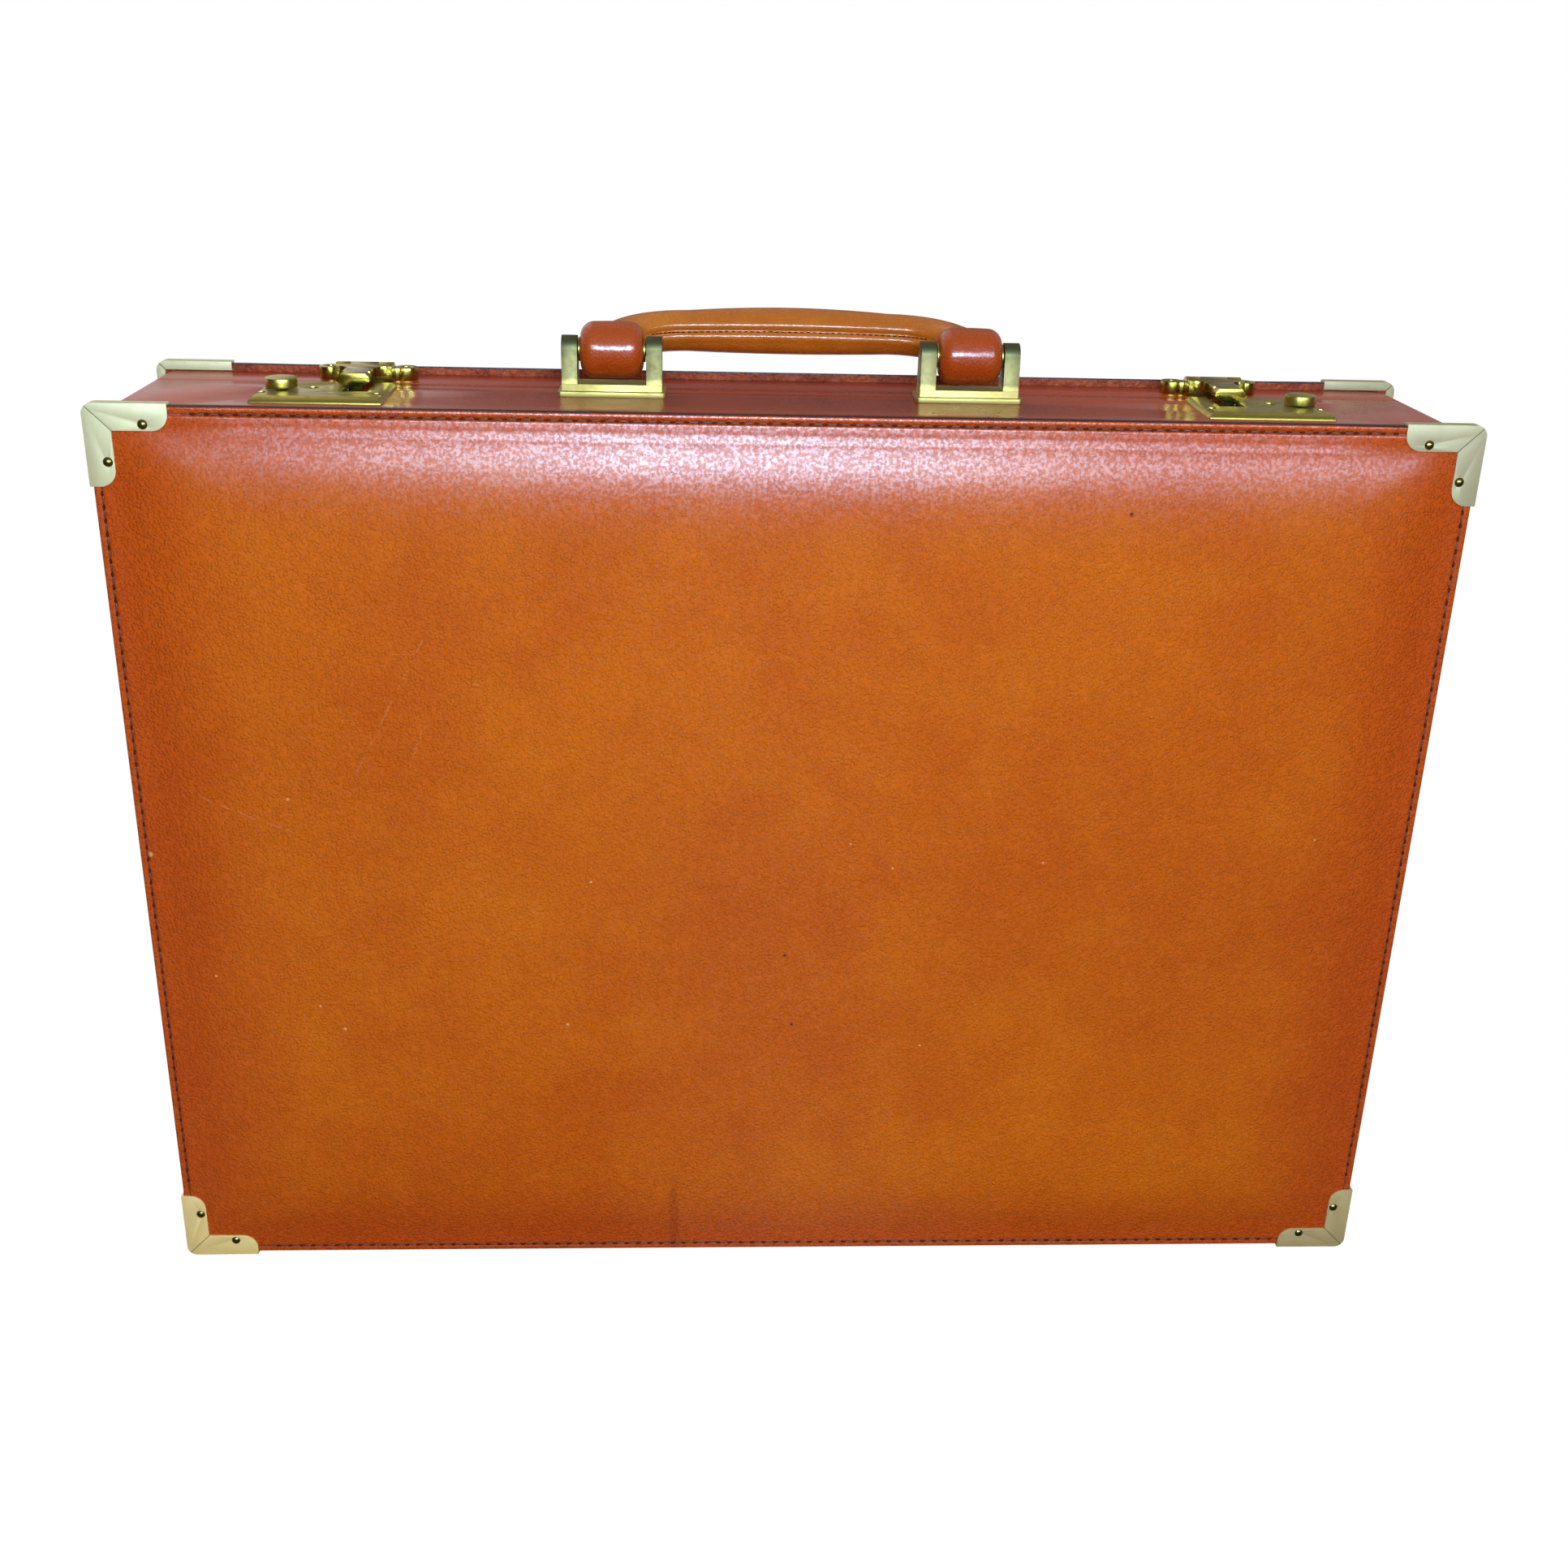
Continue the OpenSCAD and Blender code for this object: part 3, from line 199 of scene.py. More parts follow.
class Board:
    """A node tree with short ways to add nodes and to join them."""

    def __init__(self, tree):
        self.tree = tree

    def add(self, kind, settings=None, **sockets):
        """Adds a node. A socket is given by name, spaces as underscores, or as in0, in1 by number."""
        node = self.tree.nodes.new("ShaderNode" + kind)
        for key, value in (settings or {}).items():
            setattr(node, key, value)
        for key, value in sockets.items():
            numbered = key.startswith("in") and key[2:].isdigit()
            socket = node.inputs[int(key[2:])] if numbered else node.inputs[key.replace("_", " ")]
            self.feed(socket, value)
        return node

    def feed(self, socket, value):
        """Joins a node's first output, or an output, to a socket, or sets the socket's value."""
        if isinstance(value, bpy.types.Node):
            self.tree.links.new(value.outputs[0], socket)
        elif isinstance(value, bpy.types.NodeSocket):
            self.tree.links.new(value, socket)
        else:
            socket.default_value = value

    def math(self, operation, first, second=0.0, third=0.0, clamp=False):
        """A Math node."""
        settings = {"operation": operation, "use_clamp": clamp}
        return self.add("Math", settings, in0=first, in1=second, in2=third)

    def times(self, first, second):
        """The product of two values."""
        return self.math("MULTIPLY", first, second)

    def highest(self, values):
        """The highest of several values."""
        total = values[0]
        for value in values[1:]:
            total = self.math("MAXIMUM", total, value)
        return total

    def vector(self, operation, first, second):
        """A Vector Math node."""
        return self.add("VectorMath", {"operation": operation}, in0=first, in1=second)

    def split(self, vector):
        """The x, y and z of a vector."""
        return self.add("SeparateXYZ", Vector=vector).outputs

    def apart(self, first, second=0.0):
        """The distance between two values."""
        return self.math("ABSOLUTE", self.math("SUBTRACT", first, second))

    def ramp(self, value, low, high, start=0.0, end=1.0):
        """Maps a value from low and high to start and end, smoothly."""
        return self.add("MapRange", {"interpolation_type": "SMOOTHSTEP"}, Value=value,
                        From_Min=low, From_Max=high, To_Min=start, To_Max=end)

    def blend(self, factor, first, second):
        """Mixes two colours."""
        node = self.add("Mix", {"data_type": "RGBA"})
        self.feed(node.inputs["Factor"], factor)
        self.feed(node.inputs["A"], first)
        self.feed(node.inputs["B"], second)
        return node.outputs["Result"]

    def stain(self, colour, mask, share, *screen_colour):
        """Lays a screen colour over a colour by a mask and at most by the share."""
        return self.blend(self.times(mask, share), colour, shade(*screen_colour))

    def noise(self, vector, scale, detail, **sockets):
        """A Noise node."""
        return self.add("TexNoise", Vector=vector, Scale=scale, Detail=detail, **sockets)

    def use(self, tree, vector, **sockets):
        """Places a node group."""
        node = self.tree.nodes.new("ShaderNodeGroup")
        node.node_tree = tree
        self.feed(node.inputs["Vector"], vector)
        for key, value in sockets.items():
            self.feed(node.inputs[key], value)
        return node


def shade(red, green, blue):
    """A screen colour from 0 to 255 as the linear colour that Blender uses."""
    parts = [value / 255 for value in (red, green, blue)]
    return (*[part / 12.92 if part <= 0.04045 else ((part + 0.055) / 1.055) ** 2.4
              for part in parts], 1.0)


def group(name, inputs, *outputs):
    """An empty node group with a Vector input, more inputs with their values, and float outputs. Gives
    its board and the sockets of its inlet and outlet."""
    tree = bpy.data.node_groups.new(name, "ShaderNodeTree")
    tree.interface.new_socket("Vector", in_out="INPUT", socket_type="NodeSocketVector")
    for label, value in inputs.items():
        kind = "NodeSocketVector" if isinstance(value, tuple) else "NodeSocketFloat"
        tree.interface.new_socket(label, in_out="INPUT", socket_type=kind).default_value = value
    for label in outputs:
        tree.interface.new_socket(label, in_out="OUTPUT", socket_type="NodeSocketFloat")
    inlet = tree.nodes.new("NodeGroupInput").outputs
    return Board(tree), inlet, tree.nodes.new("NodeGroupOutput").inputs


def grain_group():
    """Pores and small pebbles of leather: a height, and a mask of the creases between pebbles."""
    board, given, out = group("leather_grain", {"Cell": 900.0}, "Height", "Creases")
    warp = board.noise(given["Vector"], 260.0, 3.0)
    shift = board.add("VectorMath", {"operation": "SCALE"}, in0=warp.outputs["Color"], Scale=0.0012)
    moved = board.vector("ADD", given["Vector"], shift)
    cells = board.add("TexVoronoi", {"feature": "F1"}, Vector=moved, Scale=given["Cell"])
    pebble = board.ramp(cells.outputs["Distance"], 0.15, 0.75, 1.0, 0.0)
    fine = board.noise(given["Vector"], 2600.0, 2.0)
    board.feed(out["Height"], board.math("MULTIPLY_ADD", fine, 0.35, pebble))
    board.feed(out["Creases"], board.math("SUBTRACT", 1.0, pebble))
    return board.tree


def clouds_group():
    """Soft uneven clouds of colour, as dye and wax take up unevenly."""
    board, given, out = group("clouds", {"Size": 12.0, "Low": 0.35, "High": 0.65}, "Mask")
    cloud = board.noise(given["Vector"], given["Size"], 5.0, Roughness=0.6)
    board.feed(out["Mask"], board.ramp(cloud, given["Low"], given["High"]))
    return board.tree


def scratches_group():
    """Fine straight scratches in three directions."""
    board, given, out = group("scratches", {"Scale": 60.0, "Amount": 0.5}, "Mask")
    lines = []
    for number, turn in enumerate((0.3, 1.4, 2.5)):
        turned = board.add("Mapping", Vector=given["Vector"], Location=(number * 0.37, 0.0, 0.0),
                           Rotation=(turn, turn * 0.7, turn), Scale=(1.0, 24.0, 24.0))
        streak = board.noise(turned, given["Scale"], 2.0)
        broken = board.noise(given["Vector"], 35.0 + 10 * number, 1.0)
        lines.append(board.times(board.ramp(streak, 0.70, 0.76), board.ramp(broken, 0.5, 0.62)))
    board.feed(out["Mask"], board.times(board.highest(lines), given["Amount"]))
    return board.tree


def brushed_group():
    """Fine parallel lines left by brushing, along one axis of the Vector."""
    board, given, out = group("brushed", {"Scale": (1.0, 1.0, 1.0)}, "Height")
    stretched = board.vector("MULTIPLY", given["Vector"], given["Scale"])
    board.feed(out["Height"], board.noise(stretched, 100.0, 4.0, Roughness=0.65))
    return board.tree


def spot_group():
    """A small round mark on a panel, at a place in the XZ plane."""
    board, given, out = group("spot", {"Centre": (0.0, 0.0, 0.0), "Radius": 0.0005}, "Mask")
    flat = board.vector("MULTIPLY", given["Vector"], (1.0, 0.0, 1.0))
    apart = board.vector("DISTANCE", flat, given["Centre"])
    share = board.math("DIVIDE", apart.outputs["Value"], given["Radius"])
    board.feed(out["Mask"], board.ramp(share, 0.45, 1.0, 1.0, 0.0))
    return board.tree


def stroke_group():
    """A thin broken line between two places in the XZ plane."""
    board, given, out = group(
        "stroke", {"From": (0.0, 0.0, 0.0), "Run": (0.01, 0.0, 0.0), "Radius": 0.0003}, "Mask")
    flat = board.vector("MULTIPLY", given["Vector"], (1.0, 0.0, 1.0))
    away = board.vector("SUBTRACT", flat, given["From"])
    shared = board.vector("DOT_PRODUCT", away, given["Run"])
    square = board.vector("DOT_PRODUCT", given["Run"], given["Run"])
    along = board.math("DIVIDE", shared.outputs["Value"], square.outputs["Value"], clamp=True)
    nearest = board.add("VectorMath", {"operation": "SCALE"}, in0=given["Run"], Scale=along)
    apart = board.vector("DISTANCE", away, nearest)
    share = board.math("DIVIDE", apart.outputs["Value"], given["Radius"])
    broken = board.ramp(board.noise(given["Vector"], 300.0, 1.0), 0.38, 0.5)
    board.feed(out["Mask"], board.times(board.ramp(share, 0.3, 1.0, 1.0, 0.0), broken))
    return board.tree


GRAIN = grain_group()
CLOUDS = clouds_group()
SCRATCHES = scratches_group()
BRUSHED = brushed_group()
SPOT = spot_group()
STROKE = stroke_group()


class Finish(Board):
    """The board of a material, with its Principled shader and its Object coordinates."""

    def __init__(self, name):
        self.material = bpy.data.materials.new(name)
        self.material.use_nodes = True
        super().__init__(self.material.node_tree)
        self.shader = self.tree.nodes["Principled BSDF"]
        self.place = self.add("TexCoord").outputs["Object"]

    def set(self, **sockets):
        """Feeds the shader's sockets, given by name with underscores for spaces."""
        for key, value in sockets.items():
            self.feed(self.shader.inputs[key.replace("_", " ")], value)

    def bump(self, height, strength, distance, below=None):
        """Adds a Bump node over any earlier one and feeds the shader's normal."""
        node = self.add("Bump", Strength=strength, Distance=distance, Height=height)
        if below is not None:
            self.feed(node.inputs["Normal"], below)
        self.set(Normal=node)
        return node


def leather(name, light, dark, roughness, coat_weight=0.0, cell=900.0, depth=0.00012, cloud=14.0,
            scuff=None, specular=0.5, coat_gloss=0.18, marks=None, wave=0.25, grain_strength=0.35,
            glints=0.0):
    """Waxed leather: two shades in clouds, pores, creases a little darker, and a few scratches.
    marks is a function that adds marks of one piece to the colour. glints is the share of the wax
    that is missing in its dullest specks."""
    board = Finish(name + "_finish")
    place = board.place
    light, dark = shade(*light), shade(*dark)
    wide_cloud = board.use(CLOUDS, place, Size=cloud, Low=0.32, High=0.68)
    small_cloud = board.use(CLOUDS, place, Size=cloud * 6, Low=0.3, High=0.75)
    mixed = board.math("MULTIPLY_ADD", small_cloud, 0.35, board.times(wide_cloud, 0.65))
    colour = board.blend(mixed, dark, light)
    grain = board.use(GRAIN, place, Cell=cell).outputs
    deep = [channel * 0.6 for channel in dark[:3]] + [1.0]
    colour = board.blend(board.times(grain["Creases"], 0.22), colour, deep)
    if scuff:
        scratched = board.use(SCRATCHES, place, Scale=60.0, Amount=0.35)
        colour = board.blend(scratched, colour, shade(*scuff))
    relief = board.bump(board.noise(place, 45.0, 3.0), wave, 0.0006)
    if marks:
        colour, relief = marks(board, colour, relief)
    gloss = board.ramp(small_cloud, 0.0, 1.0, roughness - 0.05, roughness + 0.07)
    board.set(Base_Color=colour, Roughness=gloss, Specular_IOR_Level=specular,
              Coat_Weight=coat_weight, Coat_Roughness=coat_gloss)
    if glints:
        specks = board.use(CLOUDS, place, Size=cell, Low=0.4, High=0.64)
        board.set(Coat_Weight=board.ramp(specks, 0.0, 1.0, (1 - glints) * coat_weight, coat_weight))
    board.bump(grain["Height"], grain_strength, depth, relief)
    return board.material


# Marks on the front panel: x, z and radius, in millimetres
PINHOLES = ((0.3, 132.4, 0.75), (3.4, 104.0, 0.7), (110.1, 295.0, 0.9))
NICKS = ((-77.9, 104.0, 0.8), (-158.2, 102.1, 0.8), (-202.4, 123.0, 0.7), (51.1, 95.0, 0.6),
         (37.6, 167.1, 0.6), (90.9, 169.5, 0.6), (-68.6, 161.3, 0.6), (22.3, 176.4, 0.6),
         (-166.2, 111.5, 0.6), (187.4, 178.8, 0.6), (-171.1, 192.3, 0.7), (-221.4, 169.1, 1.2))
# Scratches: x and z of both ends and the radius, in millimetres
STROKES = ((-203.7, 193.6, -170.7, 180.1, 0.5), (-147.0, 202.9, -122.7, 249.4, 0.45),
           (-130.8, 200.0, -124.4, 217.8, 0.4))
# The fold at the lower edge: its x, its half width and the heights between which it fades
FOLD_X = -39.5
FOLD_HALF_W = 2.6
FOLD_FADE = (23.1, 42.0)


def panel_marks(board, colour, below):
    """Redder borders on both panels, and on the front one its nicks, pinholes, scratches and fold, with
    painted shade inside the pinholes and along the fold.
    """
    x, y, z = board.split(board.place)
    up = board.apart(z, MID_Z * MM)
    to_side = board.ramp(board.apart(x), 0.165, 0.222)
    border = board.highest([to_side, board.ramp(up, 0.12, 0.161)])
    colour = board.stain(colour, border, 0.7, 174, 62, 8)
    front = board.ramp(y, -0.001, 0.001, 1.0, 0.0)

    def spots(places):
        """The mask of several spots on the front panel."""
        return board.times(board.highest([
            board.use(SPOT, board.place, Centre=(spot_x * MM, 0.0, spot_z * MM), Radius=radius * MM)
            for spot_x, spot_z, radius in places]), front)

    nicks = spots(NICKS)
    colour = board.stain(colour, nicks, 0.75, 226, 168, 120)
    lines = board.highest([
        board.use(STROKE, board.place, From=(start_x * MM, 0.0, start_z * MM),
                  Run=((end_x - start_x) * MM, 0.0, (end_z - start_z) * MM), Radius=radius * MM)
        for start_x, start_z, end_x, end_z, radius in STROKES])
    colour = board.stain(colour, board.times(lines, front), 0.18, 222, 156, 104)
    # Pinholes: small dents in the bump, painted dark as the shade inside them
    holes = spots(PINHOLES)
    colour = board.stain(colour, holes, 0.85, 70, 24, 8)
    aside = board.apart(x, FOLD_X * MM)
    near = board.ramp(aside, 0.0, FOLD_HALF_W * MM, 1.0, 0.0)
    low = board.ramp(z, FOLD_FADE[0] * MM, FOLD_FADE[1] * MM, 1.0, 0.0)
    fold = board.times(board.times(near, low), front)
    # Painted shade darkens the fold, which the bump also dents
    colour = board.stain(colour, fold, 0.35, 120, 44, 8)
    creased = board.bump(board.times(fold, -1.0), 0.6, 0.0009, below)
    pitted = board.highest([holes, board.times(nicks, 0.4)])
    return colour, board.bump(board.times(pitted, -1.0), 0.5, 0.0004, creased)


def handle_marks(board, colour, below):
    """The leather over the barrels is redder than the grip."""
    reach = board.ramp(board.split(board.place)["Y"], 0.014, 0.022, 1.0, 0.0)
    return board.stain(colour, reach, 0.85, 158, 58, 4), below


def brass(name, bright, dull, roughness, brush=(40.0, 1.0, 40.0), brush_depth=0.000002, cloud=40.0,
          metal=1.0, tint=None):
    """Lacquered or worn brass: brushed lines, tarnish in clouds and scratches.
    tint is a function that changes the colour by place and may add relief."""
    board = Finish(name + "_finish")
    tarnish = board.use(CLOUDS, board.place, Size=cloud, Low=0.4, High=0.75)
    fine = board.use(CLOUDS, board.place, Size=cloud * 9, Low=0.35, High=0.8)
    both = board.math("MULTIPLY_ADD", fine, 0.4, board.times(tarnish, 0.6))
    colour = board.blend(both, shade(*bright), shade(*dull))
    scratches = board.use(SCRATCHES, board.place, Scale=130.0, Amount=0.5)
    under = board.bump(board.use(BRUSHED, board.place, Scale=brush), 0.5, brush_depth)
    if tint:
        colour, under = tint(board, colour, under)
    rough = board.ramp(both, 0.0, 1.0, roughness, roughness + 0.14)
    board.set(Base_Color=colour, Metallic=metal,
              Roughness=board.math("MULTIPLY_ADD", scratches, 0.15, rough))
    board.bump(scratches, 0.3, 0.000004, under)
    return board.material


def cap_painted_light_and_crease(board, colour, below):
    """Corner caps with painted light: bright gold low down, a paler, greener painted reflection higher
    up and painted shade towards the right, with a mitre crease."""
    x, _, z = board.split(board.place)
    # Painted light by height: bright gold on the bottom caps, a paler, greener painted reflection on the
    # top ones
    painted_light_tone = board.blend(board.ramp(z, 0.04, 0.28), shade(250, 214, 132), shade(194, 180, 138))
    colour = board.blend(0.75, colour, painted_light_tone)
    # Painted shade towards the right
    colour = board.stain(colour, board.ramp(x, 0.0, 0.2), 0.6, 152, 134, 102)
    from_side = board.math("SUBTRACT", CAP_X * MM, board.apart(x))
    from_end = board.math("SUBTRACT", CAP_HALF_Z * MM, board.apart(z, MID_Z * MM))
    crease = board.ramp(board.apart(from_side, from_end), 0.00008, 0.00042, 1.0, 0.0)
    colour = board.stain(colour, crease, 0.55, 104, 88, 48)
    return colour, board.bump(board.times(crease, -1.0), 0.7, 0.0003, below)


def bracket_tint(board, colour, below):
    """Brackets: browned round tops and bright feet on greenish gold legs."""
    height = board.split(board.place)["Z"]
    colour = board.stain(colour, board.ramp(height, 0.3262, 0.3282, 1.0, 0.0), 0.7, 198, 166, 92)
    return board.stain(colour, board.ramp(height, 0.3335, 0.3415), 0.75, 84, 84, 58), below


def cloth(name, light, dark, thread=1400.0):
    """Brushed cotton: a fine twill in two shades."""
    board = Finish(name + "_finish")
    x, y, z = board.split(board.place)
    warp, weft = [board.math("SINE", board.times(board.math("ADD", along, y), thread * 2))
                  for along in (x, z)]
    weave = board.times(warp, weft)
    spread = board.use(CLOUDS, board.place, Size=20.0, Low=0.3, High=0.7)
    mixed = board.math("MULTIPLY_ADD", weave, 0.15, spread)
    board.set(Base_Color=board.blend(mixed, shade(*dark), shade(*light)), Roughness=0.9,
              Specular_IOR_Level=0.2, Sheen_Weight=0.3)
    board.bump(weave, 0.4, 0.0002)
    return board.material


def wood(name, light, dark):
    """Plywood: long grain lines in two shades."""
    board = Finish(name + "_finish")
    stretched = board.add("Mapping", Vector=board.place, Scale=(1.0, 6.0, 14.0))
    lines = board.ramp(board.noise(stretched, 16.0, 6.0, Distortion=0.6), 0.35, 0.65)
    board.set(Base_Color=board.blend(lines, shade(*dark), shade(*light)), Roughness=0.6)
    board.bump(lines, 0.2, 0.0003)
    return board.material


def steel(name, bright, dull, roughness):
    """Plated or browned steel with light tarnish and scratches."""
    return brass(name, bright, dull, roughness, (30.0, 30.0, 30.0), 0.00001, 60.0)


PANEL_LEATHER = leather("panel_leather", (203, 108, 0), (186, 84, 0), 0.6, coat_weight=1.0,
                        depth=0.0005, cloud=9.0, scuff=(208, 126, 66), specular=0.0, coat_gloss=0.29,
                        marks=panel_marks, grain_strength=1.0, glints=0.65)
WORN_EDGE = leather("worn_edge", (184, 94, 52), (116, 44, 24), 0.6, cell=500.0, depth=0.0004,
                    cloud=160.0, grain_strength=0.8, specular=0.15)
EDGE_INK = leather("edge_ink", (58, 26, 18), (34, 16, 12), 0.45)
# Leather of the stitched channel, painted darker as the shade in the groove
GROOVE_SHADE_LEATHER = leather("groove_leather", (128, 52, 22), (96, 34, 14), 0.5)
WALL_LEATHER = leather("wall_leather", (176, 66, 24), (156, 54, 20), 0.3, coat_weight=0.15,
                       cell=1400.0, depth=0.00001, cloud=4.0, specular=0.3, wave=0.0)
HANDLE_LEATHER = leather("handle_leather", (206, 128, 38), (176, 98, 20), 0.45, coat_weight=1.0,
                         cell=1100.0, depth=0.00014, coat_gloss=0.2, marks=handle_marks,
                         grain_strength=0.8, specular=0.1, glints=0.5)
RIM_LEATHER = leather("rim_leather", (122, 66, 34), (96, 48, 26), 0.4)
FOLDER_LEATHER = leather("folder_leather", (128, 68, 38), (104, 50, 28), 0.42)
TAN_THREAD = leather("tan_thread", (196, 150, 96), (164, 116, 66), 0.6, cell=2400.0)
THREAD = leather("thread", (118, 54, 26), (88, 36, 16), 0.6, cell=2400.0)
# Dark beads: painted shade of the needle holes between the panels' stitches, and the dark stitches of
# the handle's seam
DARK_THREAD_AND_HOLE_SHADE = leather("needle_hole", (94, 36, 16), (66, 24, 12), 0.8, specular=0.1)
PADDING_FELT = cloth("padding", (226, 214, 188), (204, 190, 160), 500.0)
LINING_CLOTH = cloth("lining", (206, 178, 136), (186, 156, 114))
BOARD_WOOD = wood("board", (214, 178, 128), (176, 134, 88))
# Corner caps: their tint function paints light and shade into the colour by place
CORNER_BRASS = brass("corner_brass", (240, 234, 196), (214, 204, 152), 0.64,
                     (40.0, 40.0, 3.0), 0.000012, 30.0, 0.55, cap_painted_light_and_crease)
NAIL_BRASS = brass("nail_brass", (150, 124, 66), (88, 70, 34), 0.26)
LATCH_BRASS = brass("latch_brass", (182, 158, 76), (142, 120, 46), 0.34)
HASP_BRASS = brass("hasp_brass", (176, 150, 62), (124, 102, 34), 0.22)
BRACKET_BRASS = brass("bracket_brass", (126, 106, 66), (98, 82, 44), 0.52,
                      cloud=60.0, tint=bracket_tint)
HINGE_BRASS = brass("hinge_brass", (214, 184, 104), (176, 142, 74), 0.3)
DARK_SCREW = steel("dark_screw", (110, 92, 60), (52, 42, 28), 0.35)
# Steel of the lock cases and slide bolts, painted dark as the shade inside the lock slots
SLOT_SHADE_STEEL = steel("dark_steel", (64, 56, 44), (36, 30, 24), 0.45)
PLATED_STEEL = steel("steel", (206, 206, 208), (160, 160, 164), 0.25)


# Camera and light

WHITE = (1, 1, 1, 1)
SKY_LIGHT = 0.45
FLOOR_GLOW = 0.81
FLOOR_END = 0.016
CAMERA_PLACE = (-0.03175, -0.60481, 0.42947)
CAMERA_TURN = (67.544, -1.418, -2.511)
LENS = 40.157
SENSOR = 36
LAMP_AIM = (0, 0, 0.16)


def make_camera():
    """The photograph's viewpoint: a little above the top wall, close in front."""
    lens = bpy.data.cameras.new("camera")
    camera = bpy.data.objects.new("camera", lens)
    bpy.context.scene.collection.objects.link(camera)
    camera.location = CAMERA_PLACE
    camera.rotation_euler = Euler([math.radians(angle) for angle in CAMERA_TURN])
    lens.sensor_width = SENSOR
    lens.lens = LENS
    bpy.context.scene.camera = camera


def area_light(name, place, wide, high, power, colour=None):
    """A soft lamp that points at the case. One with a colour is seen in reflections alone, as a window
    is, and one without lights the surfaces alone."""
    lamp = bpy.data.lights.new(name, "AREA")
    lamp.shape = "RECTANGLE"
    lamp.size = wide
    lamp.size_y = high
    lamp.energy = power
    obj = bpy.data.objects.new(name, lamp)
    bpy.context.scene.collection.objects.link(obj)
    obj.location = place
    aim = Vector(LAMP_AIM) - Vector(place)
    obj.rotation_euler = aim.to_track_quat("-Z", "Y").to_euler()
    if colour:
        lamp.color = colour
    obj.visible_diffuse = colour is None
    obj.visible_glossy = colour is not None


def ray_kinds(board):
    """Two masks: rays of reflections, and rays that come straight from the camera."""
    path = board.add("LightPath").outputs
    return path["Is Glossy Ray"], board.highest([path["Is Camera Ray"], path["Is Transmission Ray"]])


def make_world():
    """White to the camera. Reflections see a room that is dim in front and lighter at the sides,
    above and low behind. Soft light falls on the rest."""
    world = bpy.data.worlds.new("studio")
    bpy.context.scene.world = world
    world.use_nodes = True
    board = Board(world.node_tree)
    background = world.node_tree.nodes["Background"]
    background.inputs["Color"].default_value = WHITE
    x, y, z = board.split(board.add("TexCoord").outputs["Generated"])
    behind = board.ramp(y, -0.3, 0.6)
    left = board.ramp(x, -0.24, -0.1, 0.7, 0.0)
    right = board.ramp(x, 0.2, 0.4, 0.0, 0.25)
    wall = board.math("ADD", board.math("ADD", left, right), 0.16)
    above = board.ramp(z, 0.3, 0.95, 0.0, 0.22)
    below = board.times(behind, board.ramp(z, -0.12, 0.0, 0.5, 0.0))
    room = board.math("ADD", board.times(behind, wall), board.math("ADD", above, 0.03))
    room = board.math("ADD", room, below)
    mirrored, straight = ray_kinds(board)
    soft = board.ramp(straight, 0.0, 1.0, SKY_LIGHT, 1.0)
    mixed = board.add("Mix", {"data_type": "FLOAT"})
    for label, value in (("Factor", mirrored), ("A", soft), ("B", room)):
        board.feed(mixed.inputs[label], value)
    board.feed(background.inputs["Strength"], mixed)


def make_floor():
    """Pale floor that the case stands on. It looks white, and keeps the shadow. In reflections it is
    bright only before the middle of the case. It ends under the seam, as a shelf does, because the
    open lid swings down past it."""
    bpy.ops.mesh.primitive_plane_add(size=40, location=(0, FLOOR_END - 20, 0))
    floor = bpy.context.object
    floor.name = "floor"
    bpy.ops.object.transform_apply(location=True, rotation=False, scale=False)
    board = Finish("floor_paint")
    mirrored, straight = ray_kinds(board)
    aside = board.apart(board.split(board.place)["X"], 0.01)
    near = board.ramp(aside, 0.0, 0.1, 0.4, 0.02)
    tint = board.blend(straight, (0.8, 0.8, 0.8, 1), (0.42, 0.42, 0.42, 1))
    tint = board.blend(mirrored, tint, (0.03, 0.03, 0.03, 1))
    glow = board.math("MULTIPLY_ADD", straight, FLOOR_GLOW, board.times(mirrored, near))
    board.set(Base_Color=tint, Roughness=0.95, Specular_IOR_Level=0.0, Emission_Color=WHITE,
              Emission_Strength=glow)
    coat(floor, board.material)


make_camera()
make_world()
make_floor()
area_light("flash", (0.005, -0.63, 0.49), 0.46, 0.12, 3.05)
area_light("fill", (0.5, -1.0, 1.3), 1.0, 1.0, 2.4)
area_light("back_fill", (-0.5, 1.3, 1.0), 1.2, 1.2, 9)
area_light("window", (-0.008, -0.63, 0.49), 0.3, 0.12, 5.4, (0.38, 0.72, 1.0))
area_light("wide_window", (0.1, -0.63, 0.51), 0.9, 0.14, 9.0, (0.52, 0.74, 1.0))


# Sheets with an outline

def inside_by(x, z, half_w, half_h, radius):
    """How far each point lies inside a rectangle with round corners."""
    over_x = np.abs(x) - (half_w - radius)
    over_z = np.abs(z) - (half_h - radius)
    outside = np.hypot(np.maximum(over_x, 0), np.maximum(over_z, 0))
    return radius - outside - np.minimum(np.maximum(over_x, over_z), 0)


def rounded_edge(depth_in, turn):
    """Fall of a sheet's face towards its outline."""
    near = np.clip(turn - depth_in, 0, turn)
    return turn - np.sqrt(turn ** 2 - near ** 2)


def ridge(value, middle, width):
    """A smooth ridge, 1 high, where the value is near the middle one."""
    return np.exp(-(((value - middle) / width) ** 2))


def unevenness(x, z, size, seed):
    """Slow random waves over the points, from -1 to 1."""
    return np.array([noise.noise(Vector((a / size, b / size, seed))) for a, b in zip(x, z)])


def spread_lines(half, near, pitch):
    """Distances from the middle to the lines of a grid. near are the lines beside each edge, counted
    from it, and pitch is about the distance between the others."""
    width = 2 * (half - near[-1])
    count = round(width / pitch)
    field = [near[-1] + width * step / count for step in range(1, count)]
    return np.array(near + field + [2 * half - value for value in reversed(near)]) - half


